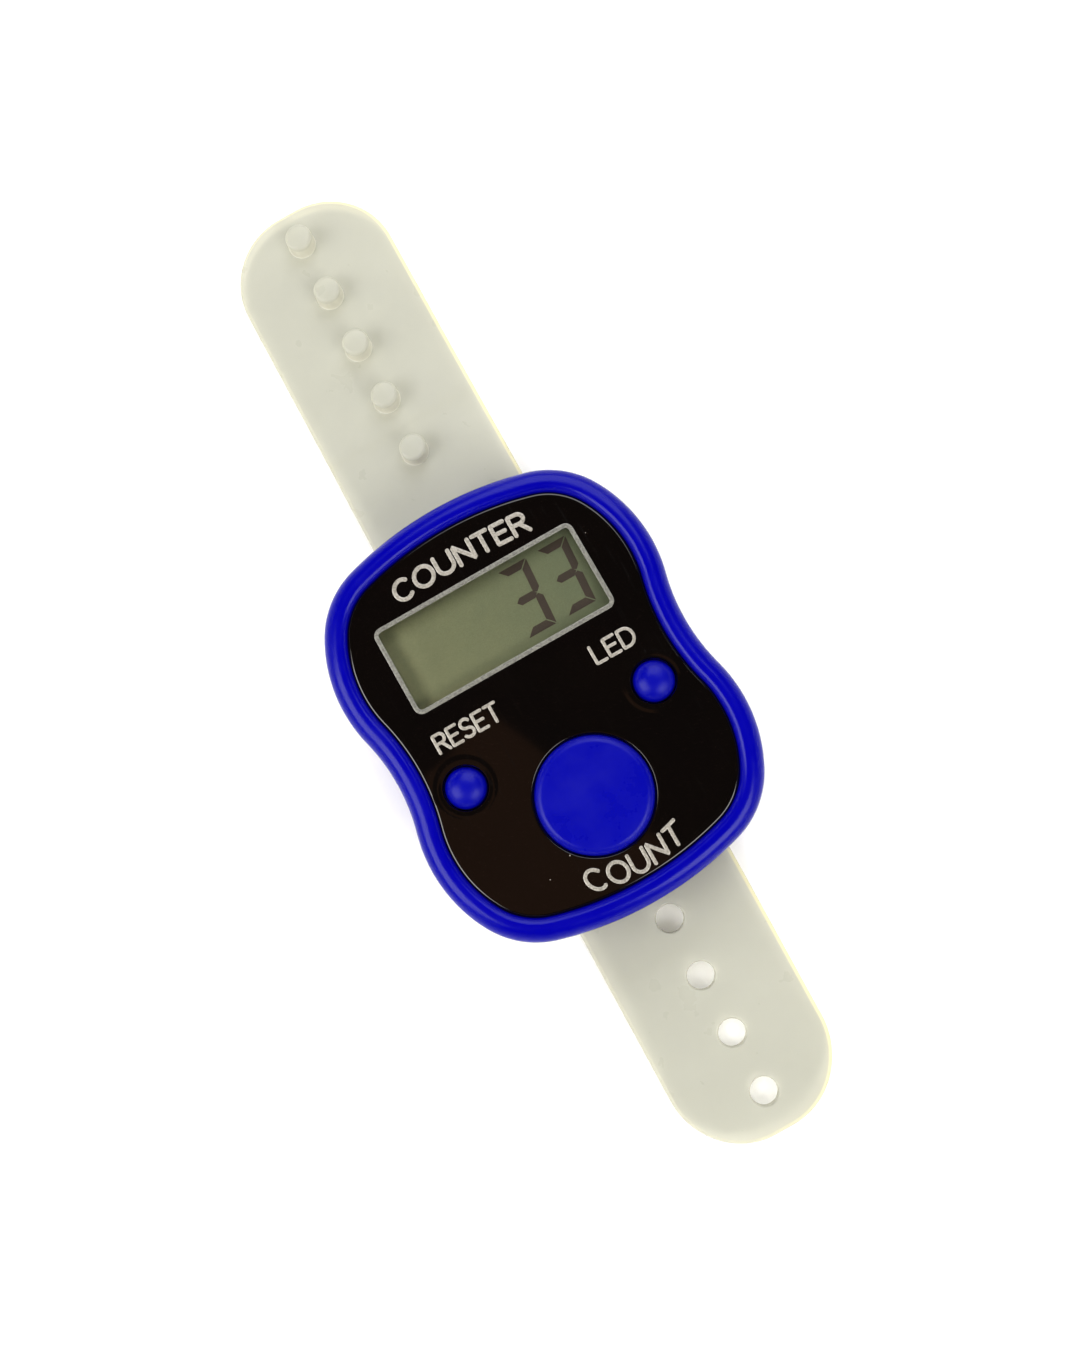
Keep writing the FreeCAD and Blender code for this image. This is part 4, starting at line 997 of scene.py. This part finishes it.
class TALLY_OT_lettering(bpy.types.Operator):
    """Printed words: the title over the window and the three button names"""

    bl_idname = "tally.lettering"
    bl_label = "Lettering"

    def execute(self, context):
        words = (
            ("label_title", "COUNTER", (0.1, 14.0), 1.7, 12.6, 0.36, -0.25),
            ("label_reset", "RESET", (-6.45, 1.2), 1.55, 5.9, 0.27, 0.0),
            ("label_led", "LED", (7.55, 1.2), 1.55, 3.8, 0.27, 0.0),
            ("label_count", "COUNT", (0.25, -14.75), 1.75, 8.7, 0.31, 0.7),
        )
        for name, text, centre, height, width, pen, smile in words:
            place = (centre[0] * MM, centre[1] * MM)
            parts = lettering(text, place, height * MM, width * MM, pen * MM, smile * MM)
            piece = make_mesh(name, parts, sharp=80)
            finish_piece(piece, finish_named("ink"), "root")
        return {"FINISHED"}


# ---------------------------------------------------------------- buttons


class TALLY_OT_buttons(bpy.types.Operator):
    """The three caps: each a profile turned about its own upright axis"""

    bl_idname = "tally.buttons"
    bl_label = "Buttons"

    def execute(self, context):
        buttons = context.scene.tally_buttons
        for name, (low, high) in BUTTON_BOXES.items():
            radius, top, bottom = button_radius(name, buttons), high.z, low.z
            rounding = buttons.count_round if name == "count" else buttons.side_round
            flat = radius - rounding
            share = np.linspace(0, 1, 9)
            if name == "count":
                # the face dips by dish * (1 - (r / flat)^2)^2
                face = np.stack([flat * share, top - buttons.dish * (1 - share ** 2) ** 2], axis=-1)[:-1]
                crown = arc((flat, top - rounding), rounding, 90, 0, 12)
            else:
                # the face and its edge are one dome: an ellipse quarter
                turn = np.radians(np.linspace(90, 0, 22))
                face = np.zeros((0, 2))
                rise = top - rounding + rounding * np.sin(turn)
                crown = np.stack([radius * np.cos(turn) ** 0.9, rise], axis=-1)
            step = bottom + buttons.flange_thickness
            wide = radius + buttons.flange
            chamfer = 0.1 * MM
            skirt = [
                (radius, step + 0.12 * MM), (radius + 0.04 * MM, step + 0.03 * MM), (radius + 0.15 * MM, step),
                (wide - chamfer, step), (wide, step - chamfer), (wide, bottom + chamfer),
                (wide - chamfer, bottom), (radius * 0.5, bottom), (0, bottom),
            ]
            profile = np.concatenate([face, crown, skirt])
            piece = make_mesh(name + "_cap", turned(profile[::-1], button_centre(name)), sharp=35)
            finish_piece(piece, finish_named("button_blue"), name + "_cap", [name + "_button"])
        return {"FINISHED"}


# ---------------------------------------------------------------- strap


def settle(piece, strap):
    """Lays the strap as it rests: shifted and skewed in its channel, its ends sunk to the table.

    x grows by shift + y * tan(skew). With t = (|y| - 20 mm) / 16 mm between 0 and 1, z sinks
    by droop * t^2 (3 - 2t), and over the last 7 mm of the end with holes it lifts by
    curl * u^2, where u is the share of those 7 mm.
    """
    count = len(piece.data.vertices)
    flat = np.empty(count * 3)
    piece.data.vertices.foreach_get("co", flat)
    points = flat.reshape(-1, 3)
    y = points[:, 1].copy()
    away = np.clip((np.abs(y) - 20 * MM) / (16 * MM), 0, 1)
    last = np.clip((-y - (-HOLE_TIP[0].y - 7 * MM)) / (7 * MM), 0, 1)
    points[:, 0] += strap.shift + y * math.tan(strap.skew)
    points[:, 2] += strap.curl * last ** 2 - strap.droop * away ** 2 * (3 - 2 * away)
    piece.data.vertices.foreach_set("co", points.ravel())
    piece.data.update()


def strap_stretch(strap, start, finish, tip, direction, holes=(), pegs=()):
    """One stretch of the strap between two distances from the middle, on the side of direction.

    Its rounded edge is a half-round profile carried up one side, round the tip if it has
    one, and down the other side; flat regions with the holes cut out close its faces.
    """
    half = PEG_TIP[1].x
    bottom, top = PEG_TIP[0].z, MIDDLE[1].z
    edge, corner = strap.edge_round, strap.tip_corner
    landing = 0.08 * MM
    profile = np.concatenate([
        [(-edge - landing, bottom)], arc((-edge, bottom + edge), edge, -90, 0, 8),
        arc((-edge, top - edge), edge, 0, 90, 8), [(-edge - landing, top)],
    ])
    inset = edge + landing
    rows = max(2, int((finish - start) / (0.6 * MM)))
    if tip:
        rise = np.linspace(start, finish - corner, rows)
        side = np.stack([np.full(rows, half), rise], axis=-1)
        turn = arc((0, 0), 1.0, 0, 90, 28)[1:]
        round_right = turn * corner + np.array([half - corner, finish - corner])
        across = np.linspace(half - corner, corner - half, 7)[1:-1]
        flat_end = np.stack([across, np.full(5, finish)], axis=-1)
        mirror = (-1, 1)
        path = np.concatenate([side, round_right, flat_end, round_right[::-1] * mirror, side[::-1] * mirror])
        right = np.repeat([[1.0, 0.0]], rows, axis=0)
        up = np.repeat([[0.0, 1.0]], 5, axis=0)
        facing = np.concatenate([right, turn, up, turn[::-1] * mirror, right * mirror])
        paths = [(path, facing)]
    else:
        rise = np.linspace(start, finish, rows)
        right = np.stack([np.full(rows, half), rise], axis=-1)
        facing = np.repeat([[1.0, 0.0]], rows, axis=0)
        paths = [(right, facing), (right[::-1] * (-1, 1), -facing)]
    parts = []
    loop = []
    for path, facing in paths:
        parts += swept(path, facing, profile, wrap=False)
        loop.append(path - facing * inset)
    cut = np.linspace(-1, 1, 25)[1:-1, None] * (half - inset)
    low_cut = np.concatenate([cut, np.full((23, 1), start)], axis=-1)
    if tip:
        outer = np.concatenate([loop[0], low_cut])
    else:
        high_cut = np.concatenate([-cut, np.full((23, 1), finish)], axis=-1)
        outer = np.concatenate([loop[0], high_cut, loop[1], low_cut])
    loops = []
    for place in holes:
        ring, away = circle((0.0, place), strap.hole_radius, 56)
        small = 0.16 * MM
        wall = np.concatenate([
            [(small + 0.05 * MM, top)], arc((small, top - small), small, 90, 180, 7),
            arc((small, bottom + small), small, 180, 270, 7), [(small + 0.05 * MM, bottom)],
        ])
        parts += swept(ring, away, wall)
        loops.append(ring + away * (small + 0.05 * MM))
    parts += flipped(region(outer, loops, level(bottom), step=0.8 * MM))
    for place in pegs:
        # the peg grows out of the sheet's top, which is left open below it
        radius, crown = strap.peg_radius, strap.peg_crown
        peak = top + strap.peg_height
        cove = 0.18 * MM
        foot = arc((radius + cove, top + cove), cove, 270, 180, 7)
        dome = arc((radius - crown, peak - crown), crown, 0, 90, 12)
        share = np.linspace(1, 0, 5)[1:]
        cap = np.stack([(radius - crown) * share, peak + 0.05 * MM * (1 - share ** 2)], axis=-1)
        parts += turned(np.concatenate([foot, dome, cap]), (0.0, place), 48)
        loops.append(circle((0.0, place), radius + cove, 48)[0])
    parts += region(outer, loops, level(top), step=0.8 * MM)
    return scaled(parts, (1, direction, 1))


def mark_rim(piece, strap, direction, holes, ends):
    """Stores what the silicone's material needs to know of each point.

    rim_distance is measured inwards from the strap's plan outline, a box with rounded
    corners; peg_rise is the height above the sheet, on the pegs. cut_face tells how
    clear a cut is: 1 on the flat ends where two stretches meet, less on the walls of the
    holes, 0 elsewhere.
    """
    count = len(piece.data.vertices)
    flat = np.empty(count * 3)
    piece.data.vertices.foreach_get("co", flat)
    x, y, z = flat.reshape(-1, 3).T
    half, corner = PEG_TIP[1].x, strap.tip_corner
    reach = (PEG_TIP[1].y, -HOLE_TIP[0].y)[direction < 0]
    across = np.abs(x) - (half - corner)
    along = y * direction - (reach - corner)
    outside = np.hypot(np.maximum(across, 0), np.maximum(along, 0))
    distance = corner - outside - np.minimum(np.maximum(across, along), 0)
    for name, values in (("rim_distance", distance), ("peg_rise", z - MIDDLE[1].z)):
        attribute = piece.data.attributes.new(name, "FLOAT", "POINT")
        attribute.data.foreach_set("value", values)
    faces = piece.data.polygons
    middles, normals = np.empty(len(faces) * 3), np.empty(len(faces) * 3)
    faces.foreach_get("center", middles)
    faces.foreach_get("normal", normals)
    middles, normals = middles.reshape(-1, 3), normals.reshape(-1, 3)
    cut = np.zeros(len(faces))
    for place in holes:
        cut[np.hypot(middles[:, 0], middles[:, 1] - place * direction) < strap.hole_radius + 0.1 * MM] = 0.1
    for end in ends:
        cut[(np.abs(middles[:, 1] - end * direction) < 0.01 * MM) & (np.abs(normals[:, 1]) > 0.99)] = 1.0
    attribute = piece.data.attributes.new("cut_face", "FLOAT", "FACE")
    attribute.data.foreach_set("value", cut)


class TALLY_OT_strap(bpy.types.Operator):
    """The strap in five stretches, each laid as the strap rests"""

    bl_idname = "tally.strap"
    bl_label = "Strap"

    def execute(self, context):
        strap = context.scene.tally_strap
        bend_up, bend_down = PEG_ROOT[0].y, -HOLE_ROOT[1].y
        peg_bend, hole_bend = PEG_TIP[0].y, -HOLE_TIP[1].y
        peg_end, hole_end = PEG_TIP[1].y, -HOLE_TIP[0].y
        pegs = [peg_end - strap.peg_tail - k * strap.pitch for k in range(4, -1, -1)]
        holes = [hole_end - strap.hole_tail - k * strap.pitch for k in range(3, -1, -1)]
        # joints between stretches lie midway between two pegs or holes, where the strap stays straight
        peg_split = (pegs[0] + pegs[1]) / 2
        hole_split = (holes[0] + holes[1]) / 2
        soft = 4.5 * MM
        stretches = (
            ("strap_back", -bend_up, bend_up, False, 1, (), (), ["strap_middle"], None),
            ("strap_peg_side", bend_up, peg_split, False, 1, (), pegs[:1], ["strap_peg_root"],
             ("root", "peg_side", bend_up, bend_up + soft)),
            ("strap_peg_end", peg_split, peg_end, True, 1, (), pegs[1:], ["strap_peg_tip"],
             ("peg_side", "peg_end", peg_bend, peg_bend + soft)),
            ("strap_hole_side", bend_down, hole_split, False, -1, holes[:1], (), ["strap_hole_root"],
             ("root", "hole_side", -bend_down, -bend_down - soft)),
            ("strap_hole_end", hole_split, hole_end, True, -1, holes[1:], (), ["strap_hole_tip"],
             ("hole_side", "hole_end", -hole_bend, -hole_bend - soft)),
        )
        for name, start, finish, tip, direction, cut, raised, nodes, joint in stretches:
            parts = strap_stretch(strap, start, finish, tip, direction, cut, raised)
            piece = make_mesh(name, parts, sharp=50, close=True)
            mark_rim(piece, strap, direction, cut, (start,) if tip else (start, finish))
            settle(piece, strap)
            body = None if joint else "root"
            finish_piece(piece, finish_named("strap_silicone"), body, nodes)
            if joint:
                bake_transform(piece)
        return {"FINISHED"}


# ---------------------------------------------------------------- CAD nodes that stay


class TALLY_OT_kept_nodes(bpy.types.Operator):
    """Materials for the CAD nodes that are shown as they are"""

    bl_idname = "tally.kept_nodes"
    bl_label = "Kept nodes"

    def execute(self, context):
        finishes = {
            "rear_cover": "case_blue", "battery_door": "case_blue", "case_screws": "screw_steel",
            "door_screw": "screw_steel", "front_polariser": "lcd_film", "rear_polariser": "lcd_film",
            "lcd_front_glass": "lcd_glass", "lcd_rear_glass": "lcd_glass", "lcd_holder": "holder_white",
            "light_guide": "lcd_glass", "backlight_lamp": "lamp_ceramic", "zebra_strip_upper": "zebra_rubber",
            "zebra_strip_lower": "zebra_rubber", "count_dome": "dome_silicone", "reset_dome": "dome_silicone",
            "led_dome": "dome_silicone", "circuit_board": "board_laminate", "controller_blob": "epoxy_black",
            "chip_resistors": "epoxy_black", "coin_cell": "plated_steel", "pole_contact": "plated_steel",
            "can_contact": "plated_steel",
        }
        for name, finish in finishes.items():
            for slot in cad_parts[name].material_slots:
                slot.material = finish_named(finish)
        return {"FINISHED"}


# ---------------------------------------------------------------- stage


class TALLY_OT_stage(bpy.types.Operator):
    """Pale paper that rises far out like a bowl, soft lights and the camera"""

    bl_idname = "tally.stage"
    bl_label = "Stage"

    def execute(self, context):
        scene, stage = context.scene, context.scene.tally_stage
        side, flat_radius, run, rise, furthest = 1.6, 0.55, 0.25, 0.3, 1.6
        across = np.linspace(-side / 2, side / 2, 65)
        x, y = np.meshgrid(across, across)
        # the paper is flat out to flat_radius; beyond it, with t the distance in runs, z grows by rise * t^2
        height = np.clip((np.hypot(x, y) - flat_radius) / run, 0, furthest) ** 2 * rise
        sheet = np.stack([x, y, height - 0.02 * MM], axis=-1)
        floor = make_mesh("studio_floor", grid(sheet))
        floor.data.materials.append(finish_named("floor"))

        world = bpy.data.worlds.new("Dim room")
        world.use_nodes = True
        world.node_tree.nodes["Background"].inputs["Color"].default_value = linear("#D8CFC4")
        world.node_tree.nodes["Background"].inputs["Strength"].default_value = 0.05
        scene.world = world
        scene.view_settings.view_transform = "Standard"

        target = Vector((0, 0, 10 * MM))
        tilt, roll = stage.tilt, stage.roll
        back = Vector((0, -math.sin(tilt), math.cos(tilt)))
        level_up = Vector((0, math.cos(tilt), math.sin(tilt)))
        up = level_up * math.cos(roll) + Vector((1, 0, 0)) * math.sin(roll)
        right = up.cross(back)
        data = bpy.data.cameras.new("Camera")
        data.lens, data.sensor_width = stage.lens, 36.0
        data.clip_start, data.clip_end = 0.01, 10.0
        # the lens shift puts the counter where the photograph has it
        data.shift_x, data.shift_y = -0.0018, 0.0213
        camera = bpy.data.objects.new("Camera", data)
        camera.matrix_world = Matrix((
            (right.x, up.x, back.x, 0), (right.y, up.y, back.y, 0), (right.z, up.z, back.z, 0), (0, 0, 0, 1)
        ))
        camera.location = target + back * stage.distance
        scene.collection.objects.link(camera)
        scene.camera = camera

        # softboxes, placed by bearing in the camera's view (degrees from its right), height angle,
        # distance, side and watts
        boxes = (
            ("Left softbox", 205, 49, 0.62, 0.40, 4.2, "#FFFDF8"),
            ("Right softbox", 325, 49, 0.62, 0.34, 2.9, "#FFFDF8"),
            ("Far softbox", 85, 47, 0.70, 0.55, 3.8, "#FBFCFF"),
            ("Room card", 235, 82, 0.50, 0.14, 0.035, "#9A6A48"),
        )
        for name, bearing, rise, distance, size, watts, colour in boxes:
            turn, lift = math.radians(bearing), math.radians(rise)
            flat_right = Vector((right.x, right.y, 0)).normalized()
            flat_up = Vector((up.x, up.y, 0)).normalized()
            level = flat_right * math.cos(turn) + flat_up * math.sin(turn)
            away = level * math.cos(lift) + Vector((0, 0, math.sin(lift)))
            lamp = bpy.data.lights.new(name, "AREA")
            lamp.shape, lamp.size, lamp.energy = "SQUARE", size, watts
            lamp.color = linear(colour)[:3]
            box = bpy.data.objects.new(name, lamp)
            box.location = away * distance
            box.rotation_euler = away.to_track_quat("Z", "Y").to_euler()
            scene.collection.objects.link(box)
        return {"FINISHED"}


# ---------------------------------------------------------------- add-on


GROUPS = {
    "tally_case": TallyCase, "tally_panel": TallyPanel, "tally_display": TallyDisplay,
    "tally_buttons": TallyButtons, "tally_strap": TallyStrap, "tally_stage": TallyStage,
}
OPERATORS = (
    TALLY_OT_front_shell, TALLY_OT_face_panel, TALLY_OT_display, TALLY_OT_lettering,
    TALLY_OT_buttons, TALLY_OT_strap, TALLY_OT_kept_nodes, TALLY_OT_stage,
)


class TALLY_PT_sidebar(bpy.types.Panel):
    """Lists the counter's settings and the operators that build it"""

    bl_idname = "TALLY_PT_sidebar"
    bl_label = "Tally counter"
    bl_space_type = "VIEW_3D"
    bl_region_type = "UI"
    bl_category = "Tally"

    def draw(self, context):
        for name, group in GROUPS.items():
            box = self.layout.box()
            box.label(text=group.__doc__)
            for key in group.__annotations__:
                box.prop(getattr(context.scene, name), key)
        for operator in OPERATORS:
            self.layout.operator(operator.bl_idname)


def register():
    for name, group in GROUPS.items():
        bpy.utils.register_class(group)
        setattr(bpy.types.Scene, name, bpy.props.PointerProperty(type=group))
    for item in (*OPERATORS, TALLY_PT_sidebar):
        bpy.utils.register_class(item)


def unregister():
    for item in (TALLY_PT_sidebar, *reversed(OPERATORS)):
        bpy.utils.unregister_class(item)
    for name, group in GROUPS.items():
        delattr(bpy.types.Scene, name)
        bpy.utils.unregister_class(group)


def main():
    register()
    for operator in OPERATORS:
        group, name = operator.bl_idname.split(".")
        getattr(getattr(bpy.ops, group), name)()


if __name__ == "__main__":
    main()
